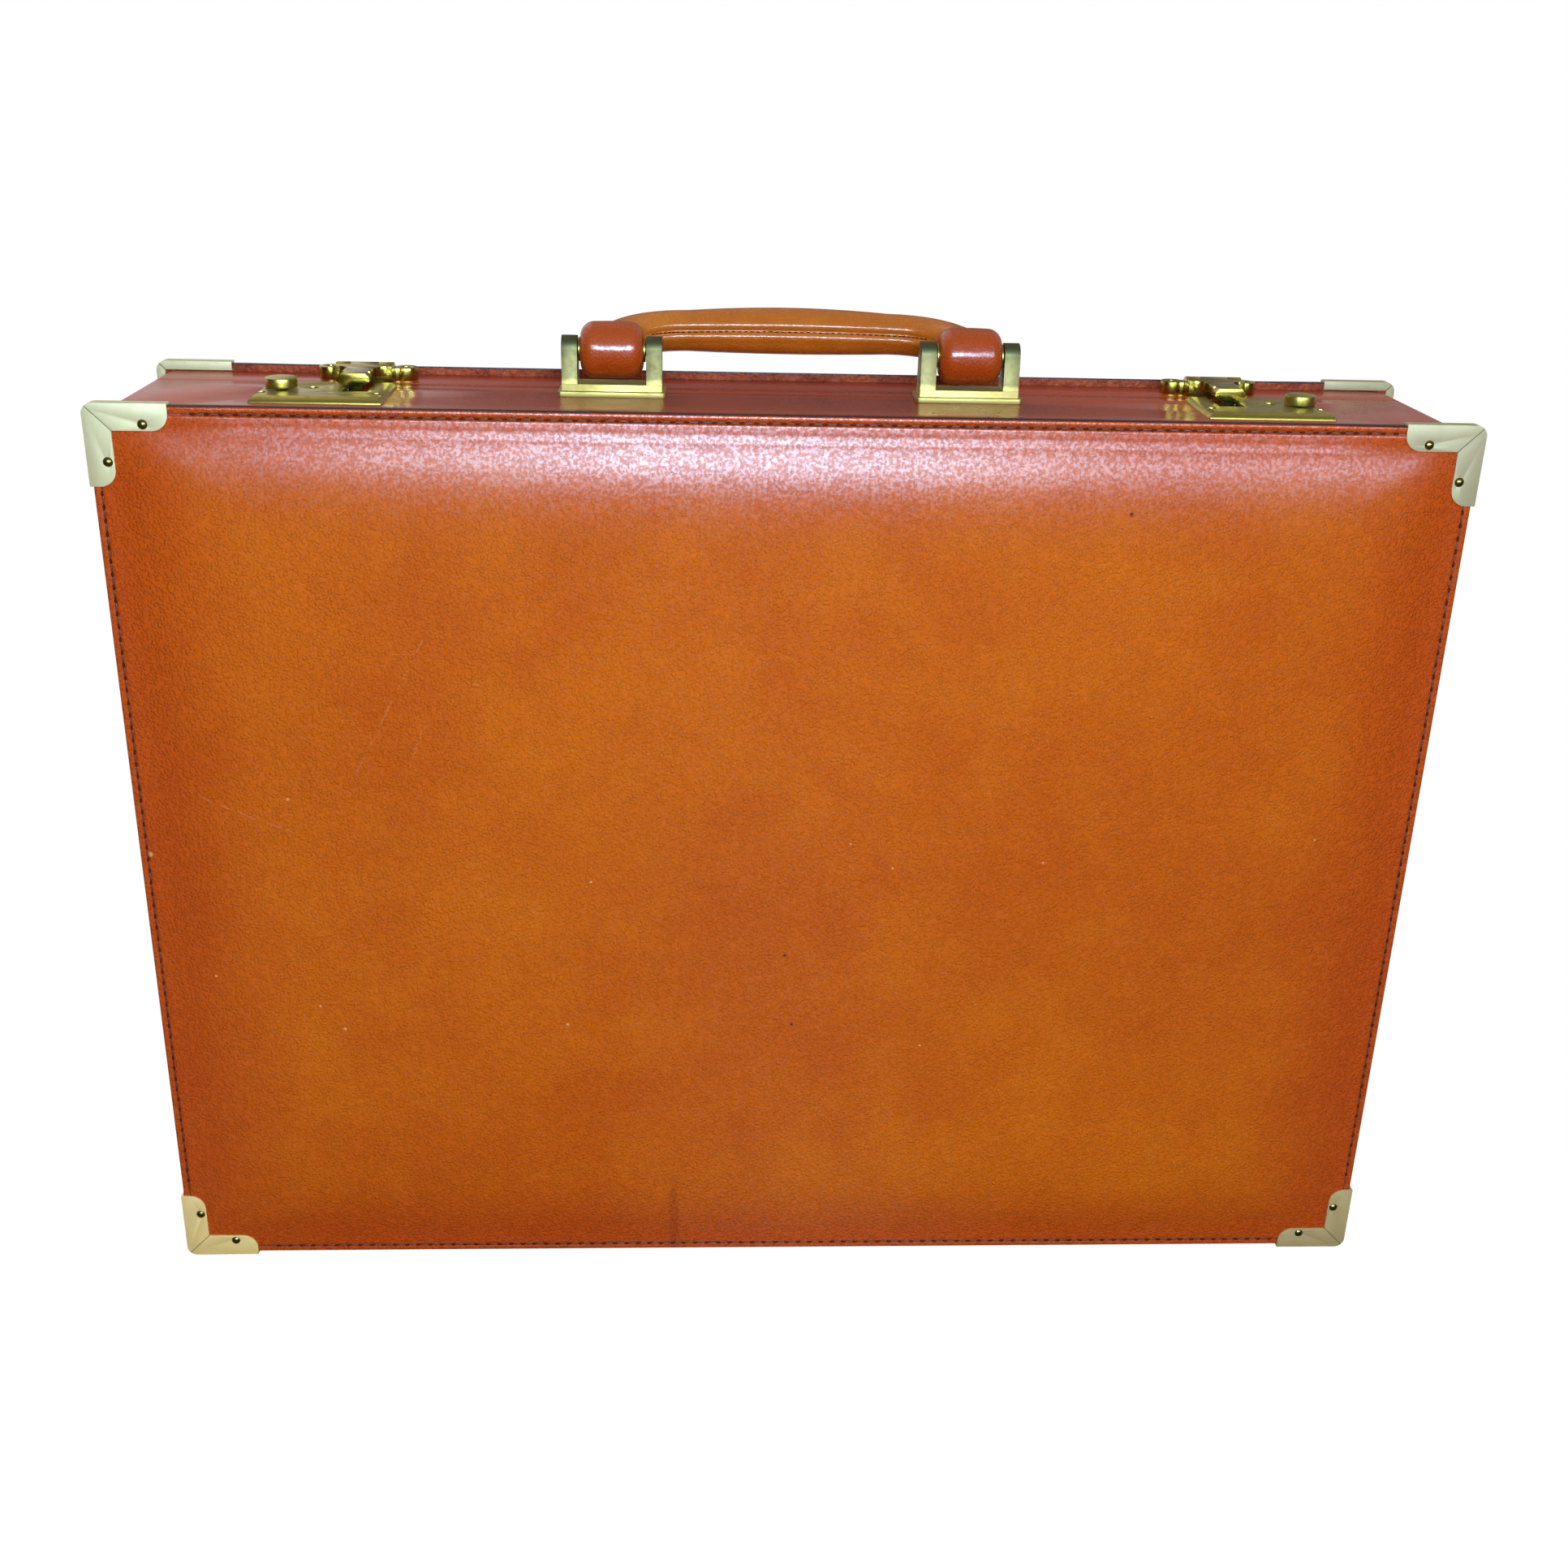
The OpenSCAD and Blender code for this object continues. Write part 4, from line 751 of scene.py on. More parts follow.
def flat_grid(name, columns, rows):
    """A flat grid with so many columns and rows of points. Gives the object and two arrays, the number
    of each point's column and row."""
    deselect()
    bpy.ops.mesh.primitive_grid_add(x_subdivisions=columns - 1, y_subdivisions=rows - 1, size=2)
    sheet = bpy.context.object
    sheet.name = name
    shares = (points_of(sheet)[:, :2] * MM + 1) / 2
    column, row = np.rint(shares * (columns - 1, rows - 1)).astype(int).T
    return sheet, column, row


def grid_sheet(name, half_w, half_h, radius, near, pitch):
    """A flat sheet with round corners, standing in the XZ plane about the origin. Gives the object and
    arrays of each point's x and z, in millimetres."""
    columns = spread_lines(half_w, near, pitch)
    rows = spread_lines(half_h, near, pitch)
    sheet, column, row = flat_grid(name, len(columns), len(rows))
    x = columns[column]
    z = rows[row]
    corner_x = np.abs(x) - (half_w - radius)
    corner_z = np.abs(z) - (half_h - radius)
    in_corner = (corner_x > 0) & (corner_z > 0)
    apart = np.maximum(np.hypot(corner_x, corner_z), 1e-6)
    shrink = np.where(in_corner, np.maximum(corner_x, corner_z) / apart, 1.0)
    x = np.where(in_corner, np.sign(x) * (half_w - radius + corner_x * shrink), x)
    z = np.where(in_corner, np.sign(z) * (half_h - radius + corner_z * shrink), z)
    return sheet, x, z


def give_thickness(sheet, front, back):
    """Makes a sheet a closed shell whose two skins pass through the given points."""
    modify(sheet, "SOLIDIFY", thickness=3 * MM, offset=-1)
    move_points(sheet, np.vstack([front, back]))
    face_outward(sheet)


# Rows of stitches

def seam_line(half_w, half_h, inset, bare, moved_on=0.0):
    """The stitches beside the four sides of a rectangle: x, z and whether they stand upright. bare is
    the length without stitches at each end of a side. They are moved on by a share of their pitch."""
    for half_run, half_other, upright in ((half_w, half_h, False), (half_h, half_w, True)):
        count = int((2 * half_run - 2 * bare) / STITCH_PITCH)
        for step in range(count):
            along = (step + moved_on - (count - 1) / 2) * STITCH_PITCH
            for other in (inset - half_other, half_other - inset):
                yield (other, along, True) if upright else (along, other, False)


def stitch_place(x, y, z, turn):
    """Where a stitch lies, turned about the Y axis."""
    return Matrix.Translation(Vector((x, y, z)) * MM) @ Matrix.Rotation(turn, 4, "Y")


def stitch_row(name, length, width, places, finish):
    """One object of many small beads, each drawn out along the X axis of its place."""
    deselect()
    bpy.ops.mesh.primitive_uv_sphere_add(segments=8, ring_count=6, radius=0.5 * MM,
                                         rotation=(0, math.pi / 2, 0), scale=(width, width, length))
    bpy.ops.object.transform_apply(location=True, rotation=True, scale=True)
    row = join(name, copies(bpy.context.object, places))
    coat(row, finish)
    smooth(row, 180)
    return row


def dress(piece, body, slot_name, *nodes):
    """Fixes a piece to its body and hides the solids that it stands for. slot_name, the name of its
    finish, is not used.
    """
    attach(piece, body)
    if nodes:
        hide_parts(*nodes)


# Leather panels

# Lines of a panel's grid beside its edge, close together in the border
PANEL_LINES = [0.4 * step for step in range(26)] + [10 + 2 * step for step in range(1, 21)]

# Distances by which the crown's outline moves in and out, to soften its start
SOFTENING = (-4.0, -2.0, 0.0, 2.0, 4.0)

# Material slots of a panel's faces that don't have its leather, which is in slot 0
INKED = 1
SHADED_GROOVE = 2
WORN = 3


def crown_rise(x, z, inset):
    """Height over the edge face of a crown that starts inset further in than the border. Its outline
    draws in as it rises."""
    low = np.zeros(len(x))
    high = np.ones(len(x))
    for _ in range(24):
        middle = (low + high) / 2
        drawn_in = BORDER + inset + CROWN_FALL * middle
        within = inside_by(x, z, PANEL_HALF_W - drawn_in, PANEL_HALF_H - drawn_in,
                           CROWN_RADIUS + CROWN_FALL * middle / 2) > 0
        low = np.where(within, middle, low)
        high = np.where(within, high, middle)
    return CROWN_HEIGHT * (1 - (1 - low) ** CROWN_FULLNESS)


def edge_profile(depth_in, under_top):
    """Height over the edge face at a distance from the outline: a rolled edge, the stitched channel
    and a low roll beside it. Under the top edge the border leans back a little."""
    channel = CHANNEL_DEPTH * ridge(depth_in, STITCH_IN, CHANNEL_WIDTH)
    roll = ROLL_HEIGHT * ridge(depth_in, ROLL_IN, ROLL_WIDTH)
    lean = LEAN_SLOPE * np.maximum(LEAN_REACH - depth_in, 0)
    return roll - lean * under_top - rounded_edge(depth_in, EDGE_ROUND) - channel


def make_panel(name, side, seed):
    """A crowned leather panel with a rolled, stitched edge. side is -1 in front and 1 behind."""
    panel, x, z = grid_sheet(name, PANEL_HALF_W, PANEL_HALF_H, EDGE_RADIUS, PANEL_LINES, 5)
    depth_in = np.maximum(inside_by(x, z, PANEL_HALF_W, PANEL_HALF_H, EDGE_RADIUS), 0)
    height = z + MID_Z
    waves = 0.28 * unevenness(x, height, 70, seed) + 0.12 * unevenness(x, height, 24, seed + 5)
    field = np.clip((depth_in - 6) / 14, 0, 1)
    soft = sum(crown_rise(x, z, inset) for inset in SOFTENING) / len(SOFTENING)
    beside = np.clip((PANEL_HALF_W - 30 - np.abs(x)) / 20, 0, 1)
    under_top = np.clip((z - (PANEL_HALF_H - 30)) / 20, 0, 1) * beside
    face = EDGE_FACE + soft + edge_profile(depth_in, under_top) + waves * field
    lining_side = EDGE_FACE - SKIN + crown_rise(x, z, SKIN)
    hollow = np.clip((depth_in - BORDER - SKIN) / 0.8, 0, 1)
    behind = EDGE_BACK + (lining_side - EDGE_BACK) * hollow
    give_thickness(panel, places_at(x, side * face, height), places_at(x, side * behind, height))
    coat(panel, PANEL_LEATHER, EDGE_INK, GROOVE_SHADE_LEATHER, WORN_EDGE)
    both = np.concatenate([depth_in, depth_in])
    outer = len(depth_in)
    for polygon in panel.data.polygons:
        depths = [both[index] for index in polygon.vertices]
        if max(depths) < 0.5:
            polygon.material_index = INKED
        # Faces in the stitched channel get the leather painted darker as shade
        elif max(polygon.vertices) < outer and abs(sum(depths) / len(depths) - STITCH_IN) < 0.35:
            polygon.material_index = SHADED_GROOVE
        elif min(polygon.vertices) >= outer and max(depths) < 4:
            polygon.material_index = WORN
    smooth(panel, 60)
    return panel


def stitch_places(side, sunk, moved_on):
    """Places of a panel's stitches, from corner cap to corner cap, sunk under the edge face."""
    stitches = seam_line(PANEL_HALF_W, PANEL_HALF_H, STITCH_IN, CAP_LENGTH + 1, moved_on)
    return [stitch_place(x, side * (EDGE_FACE - sunk), MID_Z + z,
                         math.pi / 2 + STITCH_LEAN if upright else -STITCH_LEAN)
            for x, z, upright in stitches]


def make_stitches(name, side):
    """The row of stitches round a panel, with a dark bead between each two, painted as the shade of a
    needle hole.
    """
    threads = stitch_row(name, STITCH_LENGTH, STITCH_WIDTH, stitch_places(side, STITCH_SUNK, 0), THREAD)
    between = stitch_places(side, HOLE_SUNK, 0.5)
    return join(name, [threads, stitch_row("holes", HOLE_LENGTH, HOLE_WIDTH, between, DARK_THREAD_AND_HOLE_SHADE)])


for side, body, seed in ((-1, "base", 2.0), (1, "lid", 9.0)):
    dress(make_panel(body + "_leather", side, seed), body, "panel_leather", body + "_panel_leather")
    dress(make_stitches(body + "_stitches", side), body, "panel_leather")


# Rigid pieces: copies of the solids with their sharp edges rounded

SHARP = math.radians(30)


def softened(node, name, width):
    """A copy of a solid with its edges rounded by width, in millimetres."""
    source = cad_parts[node]
    piece = bpy.data.objects.new(name, source.data.copy())
    bpy.context.scene.collection.objects.link(piece)
    pick(piece)
    bpy.ops.mesh.customdata_custom_splitnormals_clear()
    edit_all(piece)
    bpy.ops.mesh.remove_doubles(threshold=0.00001)
    bpy.ops.mesh.dissolve_limited(angle_limit=math.radians(0.5))
    bpy.ops.object.mode_set(mode="OBJECT")
    if width:
        modify(piece, "BEVEL", width=width * MM, segments=2, limit_method="ANGLE",
               angle_limit=SHARP, use_clamp_overlap=True, miter_outer="MITER_ARC")
    smooth(piece, 35)
    return piece


SIDES = ("left", "right")
CORNERS = [height + "_" + side for height in ("top", "bottom") for side in SIDES]

# Each row: solid, new piece, body, finish, rounding of the edges
RIGID = [
    ("lock_screws", "lock_plate_screws", "base", DARK_SCREW, 0.1),
    ("handle_pins", "handle_pivots", "base", BRACKET_BRASS, 0.3),
    ("bracket_backing_plates", "backing_plates", "base", PLATED_STEEL, 0.2),
    ("bracket_nuts", "cap_nuts", "base", PLATED_STEEL, 0.2),
    ("hinge_pin", "long_hinge_pin", "base", HINGE_BRASS, 0.1),
    ("hasp_mount_screws", "hasp_screws", "lid", DARK_SCREW, 0.1),
    ("hasp_pins", "hasp_pivots", "lid", LATCH_BRASS, 0.1),
    ("handle_washers", "washers", "handle", LATCH_BRASS, 0.15),
    ("base_rim", "inner_rim", "base", RIM_LEATHER, 0.4),
]
for half in ("base", "lid"):
    RIGID += [
        (f"{half}_wall_leather", f"{half}_walls", half, WALL_LEATHER, 0.5),
        (f"{half}_corner_nails", f"{half}_nails", half, NAIL_BRASS, 0),
        (f"hinge_leaf_{half}", f"{half}_hinge_leaf", half, HINGE_BRASS, 0.1),
        (f"hinge_rivets_{half}", f"{half}_rivets", half, HINGE_BRASS, 0),
        (f"{half}_stay_studs", f"{half}_studs", half, PLATED_STEEL, 0.1),
    ]
    for corner in CORNERS:
        RIGID.append((f"{half}_corner_{corner}", f"{half}_cap_{corner}", half, CORNER_BRASS, 0.3))
for side in SIDES:
    RIGID += [
        (f"lock_plate_{side}", f"lock_plate_{side}_brass", "base", LATCH_BRASS, 0.25),
        (f"lock_case_{side}", f"lock_case_{side}_steel", "base", SLOT_SHADE_STEEL, 0.2),
        (f"handle_bracket_{side}", f"bracket_{side}", "base", BRACKET_BRASS, 0.4),
        (f"hasp_mount_{side}", f"hasp_seat_{side}", "lid", HASP_BRASS, 0.2),
        (f"hasp_{side}", f"hasp_arm_{side}", f"hasp_{side}", HASP_BRASS, 0.25),
        (f"lock_button_{side}", f"slide_button_{side}", f"button_{side}", LATCH_BRASS, 0.35),
        (f"lock_bolt_{side}", f"slide_bolt_{side}", f"button_{side}", SLOT_SHADE_STEEL, 0.1),
        (f"stay_lower_{side}", f"lower_link_{side}", f"stay_lower_{side}", PLATED_STEEL, 0.2),
        (f"stay_upper_{side}", f"upper_link_{side}", f"stay_upper_{side}", PLATED_STEEL, 0.2),
    ]

# Finishes that have the slot of another finish in the record
SHARED_SLOTS = {"hasp_brass": "latch_brass", "dark_steel": "steel"}

# Screw slots: their size, and for each solid y and z of the heads, then x and the turn in degrees
SLOT_SIZE = (3.6, 0.45, 0.9)
SLOT_PLACES = {
    "lock_screws": (-12.0, 323.8, ((-176.8, 24), (-138.8, -38), (142.8, 70), (180.8, -12))),
    "hasp_mount_screws": (29.6, 326.1, ((-161.8, 15), (-135.4, 62), (139.4, -30), (165.8, 48))),
}


def cut_slots(piece, y, z, places):
    """Cuts a screwdriver slot into each of the round heads."""
    cutters = []
    for x, turn in places:
        deselect()
        bpy.ops.mesh.primitive_cube_add(size=1, location=(x * MM, y * MM, z * MM),
                                        rotation=(0, 0, math.radians(turn)),
                                        scale=[size * MM for size in SLOT_SIZE])
        cutters.append(bpy.context.object)
    cutter = join("slot_cutter", cutters)
    modify(piece, "BOOLEAN", operation="DIFFERENCE", solver="EXACT", object=cutter)
    bpy.data.objects.remove(cutter)
    smooth(piece, 35)


for node, name, body, finish, width in RIGID:
    piece = softened(node, name, width)
    if node in SLOT_PLACES:
        cut_slots(piece, *SLOT_PLACES[node])
    coat(piece, finish)
    kind = finish.name.removesuffix("_finish")
    dress(piece, body, SHARED_SLOTS.get(kind, kind), node)


# Handle

PIN = np.array((0.0, PIN_Y, PIN_Z))
UP_REACH = np.array((0.0, math.cos(TILT), math.sin(TILT)))
UP_FLAT = np.array((0.0, -math.sin(TILT), math.cos(TILT)))
BARREL_TURN = 4.4
BARREL_FULLNESS = 0.3
GRIP_ARCH = 1.2
GRIP_END = 62
GRIP_SWELL = 0.5
LIP_HEIGHT = 0.45
LIP_ASIDE = 2.3
LIP_WIDTH = 1.3
PINCH_WIDTH = 0.75
SEAM_PITCH = 2.2
SEAM_HALF_COUNT = 24
SEAM_STITCH_LENGTH = 1.5
SEAM_STITCH_WIDTH = 0.5
VOXEL = 0.45


def from_pins(points):
    """Each point's x, its distance from the line of the pins in the handle's plane, and its distance
    over that plane."""
    away = points - PIN
    return away[:, 0], away @ UP_REACH, away @ UP_FLAT


def beside_line(points):
    """Each point's place by the handle's line: the distance along it from the middle, the distance out
    of its bend, the distance over its plane, and the outward direction."""
    x, reach, over = from_pins(points)
    past = np.maximum(np.abs(x) - GRIP_HALF, 0)
    beyond = np.maximum(reach - (GRIP_REACH - GRIP_BEND), 0)
    radius = np.maximum(np.hypot(past, beyond), 1e-6)
    along = np.where(past > 0, GRIP_HALF + GRIP_BEND * np.arctan2(past, beyond), np.abs(x))
    outward = np.outer(beyond / radius, UP_REACH)
    outward[:, 0] = np.sign(x) * past / radius
    return along, radius - GRIP_BEND, over, outward


def pinch_seam(points):
    """Draws the grip in along its seam, with a lip on both sides, and arches it a little."""
    along, out, over, outward = beside_line(points)
    radius = np.maximum(np.hypot(out, over), 1e-6)
    angle = np.arctan2(over, -out)
    aside = radius * (angle - SEAM_ANGLE)
    lips = LIP_HEIGHT * ridge(np.abs(aside), LIP_ASIDE, LIP_WIDTH)
    groove = ridge(aside, 0, PINCH_WIDTH)
    swell = GRIP_SWELL * np.maximum(np.cos(angle - SEAM_ANGLE), 0) ** 3
    fade = np.clip((60 - along) / 10, 0, 1) * (radius < 11)
    shift = (lips + swell - groove) * fade
    direction = (outward * out[:, None] + UP_FLAT * over[:, None]) / radius[:, None]
    arch = GRIP_ARCH * np.cos(np.clip(along / GRIP_END, 0, 1) * math.pi / 2)
    return points + direction * shift[:, None] + np.outer(arch, UP_FLAT)


def plump_barrels(points):
    """Rounds the ends of the barrels and makes them a little fuller in the middle."""
    x, reach, over = from_pins(points)
    aside = np.abs(x) - BARREL_X
    radius = np.maximum(np.hypot(reach, over), 1e-6)
    on_barrel = (np.abs(aside) < BARREL_HALF + 0.4) & (radius < BARREL_RADIUS + 0.6)
    on_barrel &= (radius > 4) & ((reach < 5) | (np.abs(aside) > BARREL_HALF - 3.3))
    past_end = np.maximum(np.abs(aside) - (BARREL_HALF - BARREL_TURN), 0)
    past_side = np.maximum(radius - (BARREL_RADIUS - BARREL_TURN), 0)
    over_round = np.hypot(past_end, past_side)
    in_round = (past_end > 0) & (past_side > 0)
    shrink = np.where(in_round, BARREL_TURN / np.maximum(over_round, BARREL_TURN), 1.0)
    full = BARREL_FULLNESS * (1 - (aside / BARREL_HALF) ** 2) * np.clip((radius - 7) / 2, 0, 1)
    lumps = 0.12 * unevenness(points[:, 0], points[:, 2], 6, 3.0)
    end = np.sign(aside) * (BARREL_HALF - BARREL_TURN + past_end * shrink)
    new_aside = np.where(past_end > 0, end, aside)
    rounded = np.where(past_side > 0, BARREL_RADIUS - BARREL_TURN + past_side * shrink, radius)
    scale = (rounded + full + lumps) / radius
    moved = np.outer(reach * scale, UP_REACH) + np.outer(over * scale, UP_FLAT) + PIN
    moved[:, 0] = np.sign(x) * (BARREL_X + new_aside)
    return np.where(on_barrel[:, None], moved, points)


def seam_places(handle):
    """Places of the stitches along the handle's seam, on its surface."""
    places = []
    for step in range(-SEAM_HALF_COUNT, SEAM_HALF_COUNT + 1):
        along = abs(step) * SEAM_PITCH
        side = -1.0 if step < 0 else 1.0
        bend = max(along - GRIP_HALF, 0) / GRIP_BEND
        out = Vector((side * math.sin(bend), *(UP_REACH[1:] * math.cos(bend))))
        middle = Vector((side * min(along, GRIP_HALF), PIN_Y, PIN_Z))
        middle += Vector(UP_REACH) * (GRIP_REACH - GRIP_BEND) + out * GRIP_BEND
        inward = -out * math.cos(SEAM_ANGLE) + Vector(UP_FLAT) * math.sin(SEAM_ANGLE)
        _, spot, _, _ = handle.closest_point_on_mesh((middle + inward * 7.0) * MM)
        tangent = Vector((math.cos(bend), *(-side * UP_REACH[1:] * math.sin(bend))))
        across = inward.cross(tangent)
        turn = Matrix((tangent, across, inward)).transposed().to_4x4()
        places.append(Matrix.Translation(spot + inward * 0.05 * MM) @ turn)
    return places


def make_handle():
    """The leather handle: barrels and grip drawn into one skin, pinched along its seam."""
    handle = softened("handle_grip", "handle_leather", 0)
    pick(handle)
    handle.data.remesh_voxel_size = VOXEL * MM
    handle.data.remesh_voxel_adaptivity = 0
    bpy.ops.object.voxel_remesh()
    modify(handle, "SMOOTH", factor=0.5, iterations=10)
    move_points(handle, pinch_seam(plump_barrels(points_of(handle))))
    modify(handle, "SMOOTH", factor=0.5, iterations=2)
    smooth(handle, 180)
    coat(handle, HANDLE_LEATHER)
    return handle


handle = make_handle()
bpy.context.view_layer.update()
# The handle's stitches are thread with the finish that paints the shade of the needle holes
seam = stitch_row("handle_stitches", SEAM_STITCH_LENGTH, SEAM_STITCH_WIDTH, seam_places(handle),
                  DARK_THREAD_AND_HOLE_SHADE)
dress(handle, "handle", "handle_leather", "handle_grip")
dress(seam, "handle", "handle_leather")


# Lining of both halves

LINING = 1.0
LINING_CORNER = 2.2
CLOTH_T = 0.65


def make_lining(name, node, side):
    """Cloth glued over the boards: an open tray with soft corners. side is -1 for the base, which is
    open behind, and 1 for the lid, which is open in front."""
    low, high = (np.array(corner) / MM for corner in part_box(node))
    low += (LINING, LINING if side < 0 else 0, LINING)
    high -= (LINING, LINING if side > 0 else 0, LINING)
    deselect()
    bpy.ops.mesh.primitive_cube_add(size=2)
    tray = bpy.context.object
    tray.name = name
    cube = points_of(tray) * MM
    move_points(tray, (low + high) / 2 + cube * (high - low) / 2)
    bpy.ops.object.mode_set(mode="EDIT")
    bpy.ops.mesh.select_mode(type="FACE")
    bpy.ops.mesh.select_all(action="DESELECT")
    bpy.ops.object.mode_set(mode="OBJECT")
    for polygon in tray.data.polygons:
        polygon.select = polygon.normal.y * side < -0.9
    bpy.ops.object.mode_set(mode="EDIT")
    bpy.ops.mesh.delete(type="FACE")
    bpy.ops.mesh.select_all(action="SELECT")
    bpy.ops.mesh.bevel(offset=LINING_CORNER * MM, offset_type="OFFSET", segments=3, affect="EDGES")
    bpy.ops.mesh.select_all(action="SELECT")
    bpy.ops.mesh.subdivide(number_cuts=24)
    bpy.ops.mesh.flip_normals()
    bpy.ops.object.mode_set(mode="OBJECT")
    points = points_of(tray)
    inward = np.zeros(len(points) * 3)
    tray.data.vertices.foreach_get("normal", inward)
    waves = 0.14 * (unevenness(points[:, 0], points[:, 2], 26, side) - 1)
    move_points(tray, points + inward.reshape(-1, 3) * waves[:, None])
    modify(tray, "SOLIDIFY", thickness=CLOTH_T * MM, offset=-1)
    smooth(tray, 50)
    coat(tray, LINING_CLOTH)
    return tray


for side, body in ((-1, "base"), (1, "lid")):
    dress(make_lining(body + "_cloth", body + "_lining", side), body, "lining", body + "_lining")


# Document folder in the lid: its sheet, the open pocket and the pen loops

# Lines of a patch's grid beside its edge
PATCH_LINES = [0, 0.3, 0.6, 1.0, 1.5, 2.1, 2.8, 3.6, 4.6, 6, 8, 11, 15, 20]

folder_low, folder_high = (np.array(corner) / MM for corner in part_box("lid_folder"))
pocket_low, pocket_high = (np.array(corner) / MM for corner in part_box("lid_pocket"))
loop_low, loop_high = (np.array(corner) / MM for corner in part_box("pen_loops"))
LID_BACK = folder_high[1]
FOLDER_T = folder_high[1] - folder_low[1]
FOLDER_HALF_W = (folder_high[0] - folder_low[0]) / 2
FOLDER_HALF_H = (folder_high[2] - folder_low[2]) / 2
FOLDER_R = 8.0
POCKET_HALF_W = (pocket_high[0] - pocket_low[0]) / 2
POCKET_HALF_H = (pocket_high[2] - pocket_low[2]) / 2
POCKET_MIDDLE = (pocket_high[2] + pocket_low[2]) / 2
POCKET_R = 5.0
POCKET_DIP = 14.0
POCKET_LEAF = 1.2
POCKET_OPEN = 2.6
SEW_IN = 3.0
SEW_LENGTH = 2.8
SEW_WIDTH = 0.75
LOOP_RADIUS = 2.8
LOOP_MIDDLE = 3.2
LOOP_T = 0.75
LOOP_EDGE = 0.15
LOOP_LOW = loop_low[2]
LOOP_HIGH = loop_high[2]
LOOP_PITCH = 12.0
LOOP_ROWS = 12


def patch(name, half_w, half_h, radius):
    """A flat sheet of leather: the object, its points' x and z, and how far they lie inside it."""
    sheet, x, z = grid_sheet(name, half_w, half_h, radius, PATCH_LINES, 7)
    return sheet, x, z, np.maximum(inside_by(x, z, half_w, half_h, radius), 0)


def finish_patch(sheet):
    """Smooth shading and leather for a patch."""
    smooth(sheet, 50)
    coat(sheet, FOLDER_LEATHER)
    return sheet


def folder_level(x, z):
    """Height of the folder's face over the lining."""
    return FOLDER_T + 0.12 * unevenness(x, z, 40, 1.5)


def make_folder():
    """The folder's sheet: leather with turned edges and a stitched groove."""
    sheet, x, z, depth_in = patch("folder_sheet", FOLDER_HALF_W, FOLDER_HALF_H, FOLDER_R)
    face = folder_level(x, z) - rounded_edge(depth_in, 0.6) - 0.25 * ridge(depth_in, SEW_IN, 0.6)
    front = places_at(x, LID_BACK - face, z + MID_Z)
    give_thickness(sheet, front, places_at(x, LID_BACK - 0.02, z + MID_Z))
    return finish_patch(sheet)


def pocket_dip(x):
    """Fall of the pocket's top edge towards its middle, sagging a little more than it was cut."""
    half = FOLDER_HALF_W / 2
    radius = (half ** 2 + POCKET_DIP ** 2) / (2 * POCKET_DIP)
    flat = np.clip(np.abs(x), 0, half)
    cut = np.maximum(POCKET_DIP - (radius - np.sqrt(radius ** 2 - flat ** 2)), 0)
    return cut * 1.06 + 0.5 * np.cos(np.clip(x / POCKET_HALF_W, -1, 1) * math.pi / 2)


def pocket_share(z):
    """Share of the pocket's height at which a place lies."""
    return np.clip((z + POCKET_HALF_H) / (2 * POCKET_HALF_H), 0, 1)


def pocket_height(x, z):
    """Height in the case of a place of the pocket, whose top edge falls towards its middle."""
    return z - pocket_dip(x) * pocket_share(z) + POCKET_MIDDLE


def pocket_level(x, z):
    """Height of the pocket's back over the lining: sewn down at the sides and below, open above."""
    from_side = np.clip((POCKET_HALF_W - np.abs(x)) / 60, 0, 1)
    return FOLDER_T + 0.15 + POCKET_OPEN * pocket_share(z) ** 1.6 * np.sin(from_side * math.pi / 2)


def make_pocket():
    """The pocket: one leaf that stands off the folder towards its open top edge."""
    leaf, x, z, depth_in = patch("folder_pocket", POCKET_HALF_W, POCKET_HALF_H, POCKET_R)
    under = pocket_level(x, z)
    waves = 0.35 * unevenness(x, z, 55, 4.5) * np.clip(depth_in / 30, 0, 1)
    face = under + POCKET_LEAF + waves - rounded_edge(depth_in, 0.5)
    face -= 0.22 * ridge(depth_in, SEW_IN, 0.55)
    lowered = pocket_height(x, z)
    front = places_at(x, LID_BACK - face, lowered)
    give_thickness(leaf, front, places_at(x, LID_BACK - under - waves * pocket_share(z), lowered))
    return finish_patch(leaf)


def sewing(piece, half_w, half_h, radius, shape):
    """Stitches along all four sides of a patch. shape gives the level and the height of a place."""
    places = []
    for x, z, upright in seam_line(half_w, half_h, SEW_IN, radius):
        level, height = shape(np.array([x]), np.array([z]))
        turn = math.pi / 2 if upright else 0
        places.append(stitch_place(x, LID_BACK - level[0] + 0.1, height[0], turn))
    return stitch_row(piece.name + "_thread", SEW_LENGTH, SEW_WIDTH, places, TAN_THREAD)


def loop_path():
    """The outline of a pen loop seen from its end: places across and over the folder."""
    turns = [math.radians(turn) for turn in range(165, 0, -15)]
    bend = [(LOOP_RADIUS * math.cos(turn), LOOP_MIDDLE + LOOP_RADIUS * math.sin(turn)) for turn in turns]
    left = [(-5.8, 0.45), (-5, 0.45), (-4.2, 0.47), (-3.5, 0.6), (-3.0, 1.0), (-2.82, 1.8), (-2.8, 2.6)]
    return np.array(left + bend + [(-x, height) for x, height in reversed(left)])


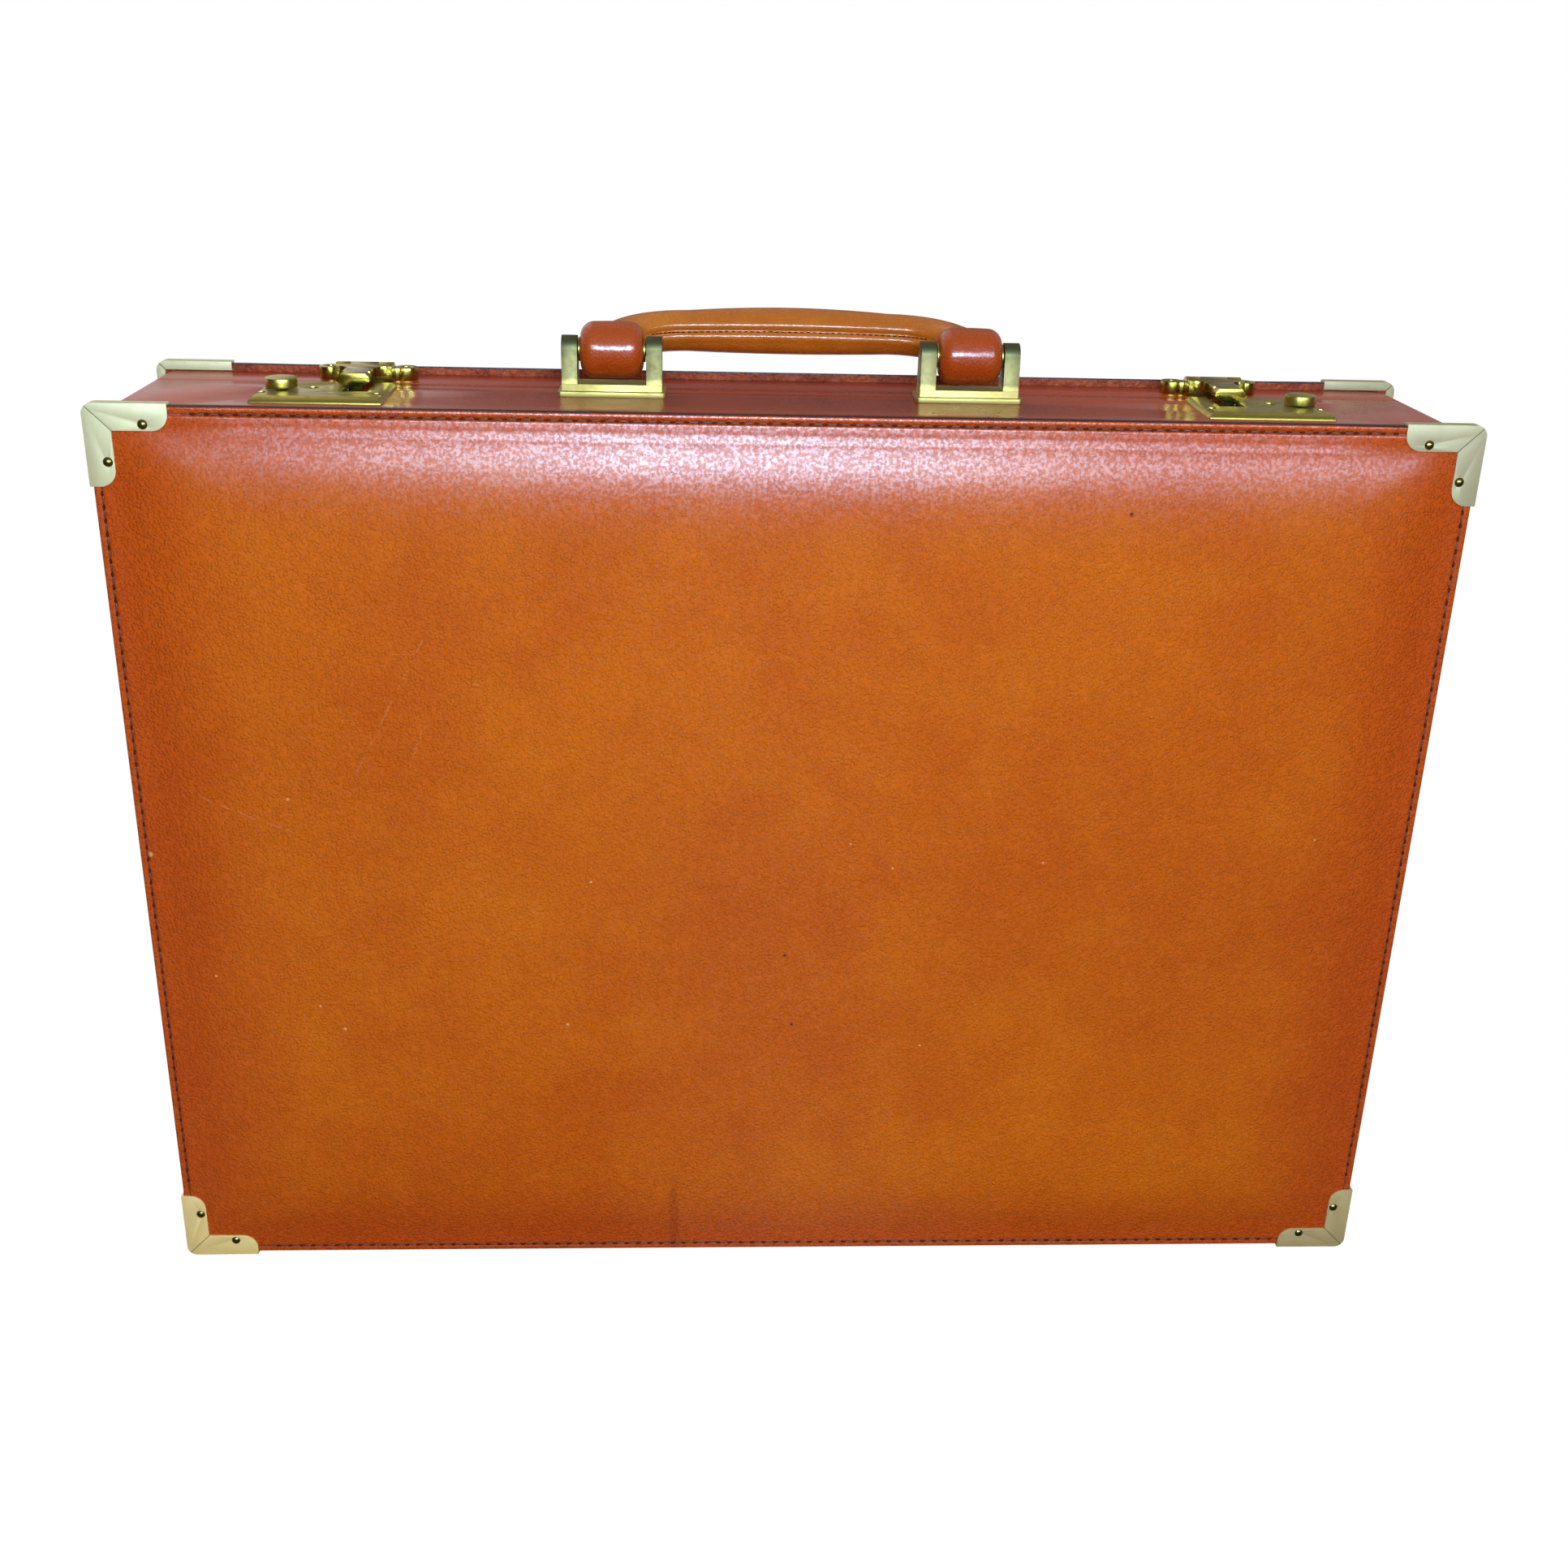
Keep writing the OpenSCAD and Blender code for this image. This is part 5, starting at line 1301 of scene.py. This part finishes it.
def make_pen_loops():
    """Strips bent into loops, with flat ends along the folder beside each pen."""
    path = loop_path()
    loops = []
    for number in (-1, 0, 1):
        loop, step, row = flat_grid("loop", len(path), LOOP_ROWS + 1)
        across, over = path[step].T
        z = LOOP_LOW + row / LOOP_ROWS * (LOOP_HIGH - LOOP_LOW)
        move_points(loop, places_at(across + number * LOOP_PITCH, LID_BACK - FOLDER_T - over, z))
        modify(loop, "SOLIDIFY", thickness=LOOP_T * MM, offset=0)
        modify(loop, "BEVEL", width=LOOP_EDGE * MM, segments=2, limit_method="ANGLE",
               angle_limit=math.radians(60))
        face_outward(loop)
        loops.append(loop)
    return finish_patch(join("folder_pen_loops", loops))


def on_folder(x, z):
    """Level and height of a place of the folder's seam."""
    return folder_level(x, z), z + MID_Z


def on_pocket(x, z):
    """Level and height of a place of the pocket's seam."""
    return pocket_level(x, z) + POCKET_LEAF, pocket_height(x, z)


folder = make_folder()
dress(folder, "lid", "folder_leather", "lid_folder")
folder_seam = sewing(folder, FOLDER_HALF_W, FOLDER_HALF_H, FOLDER_R, on_folder)
dress(folder_seam, "lid", "folder_leather")
pocket = make_pocket()
dress(pocket, "lid", "folder_leather", "lid_pocket")
pocket_seam = sewing(pocket, POCKET_HALF_W, POCKET_HALF_H, POCKET_R, on_pocket)
dress(pocket_seam, "lid", "folder_leather")
dress(make_pen_loops(), "lid", "folder_leather", "pen_loops")


# Plain solids that stay, with their finish

KEPT = {
    "base_panel_padding": PADDING_FELT, "lid_panel_padding": PADDING_FELT,
    "base_panel_board": BOARD_WOOD, "lid_panel_board": BOARD_WOOD,
    "base_frame": BOARD_WOOD, "lid_frame": BOARD_WOOD,
    "handle_core": PLATED_STEEL,
}
for node, finish in KEPT.items():
    coat(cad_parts[node], finish)

# Both windows leave the walls out, which would mirror them as white glare to a viewer behind the case
walls = bpy.data.collections.new("walls")
for name in ("base_walls", "lid_walls"):
    walls.objects.link(bpy.data.objects[name])
for member in walls.collection_objects:
    member.light_linking.link_state = "EXCLUDE"
for name in ("window", "wide_window"):
    bpy.data.objects[name].light_linking.receiver_collection = walls

bpy.context.scene.view_settings.view_transform = "Standard"
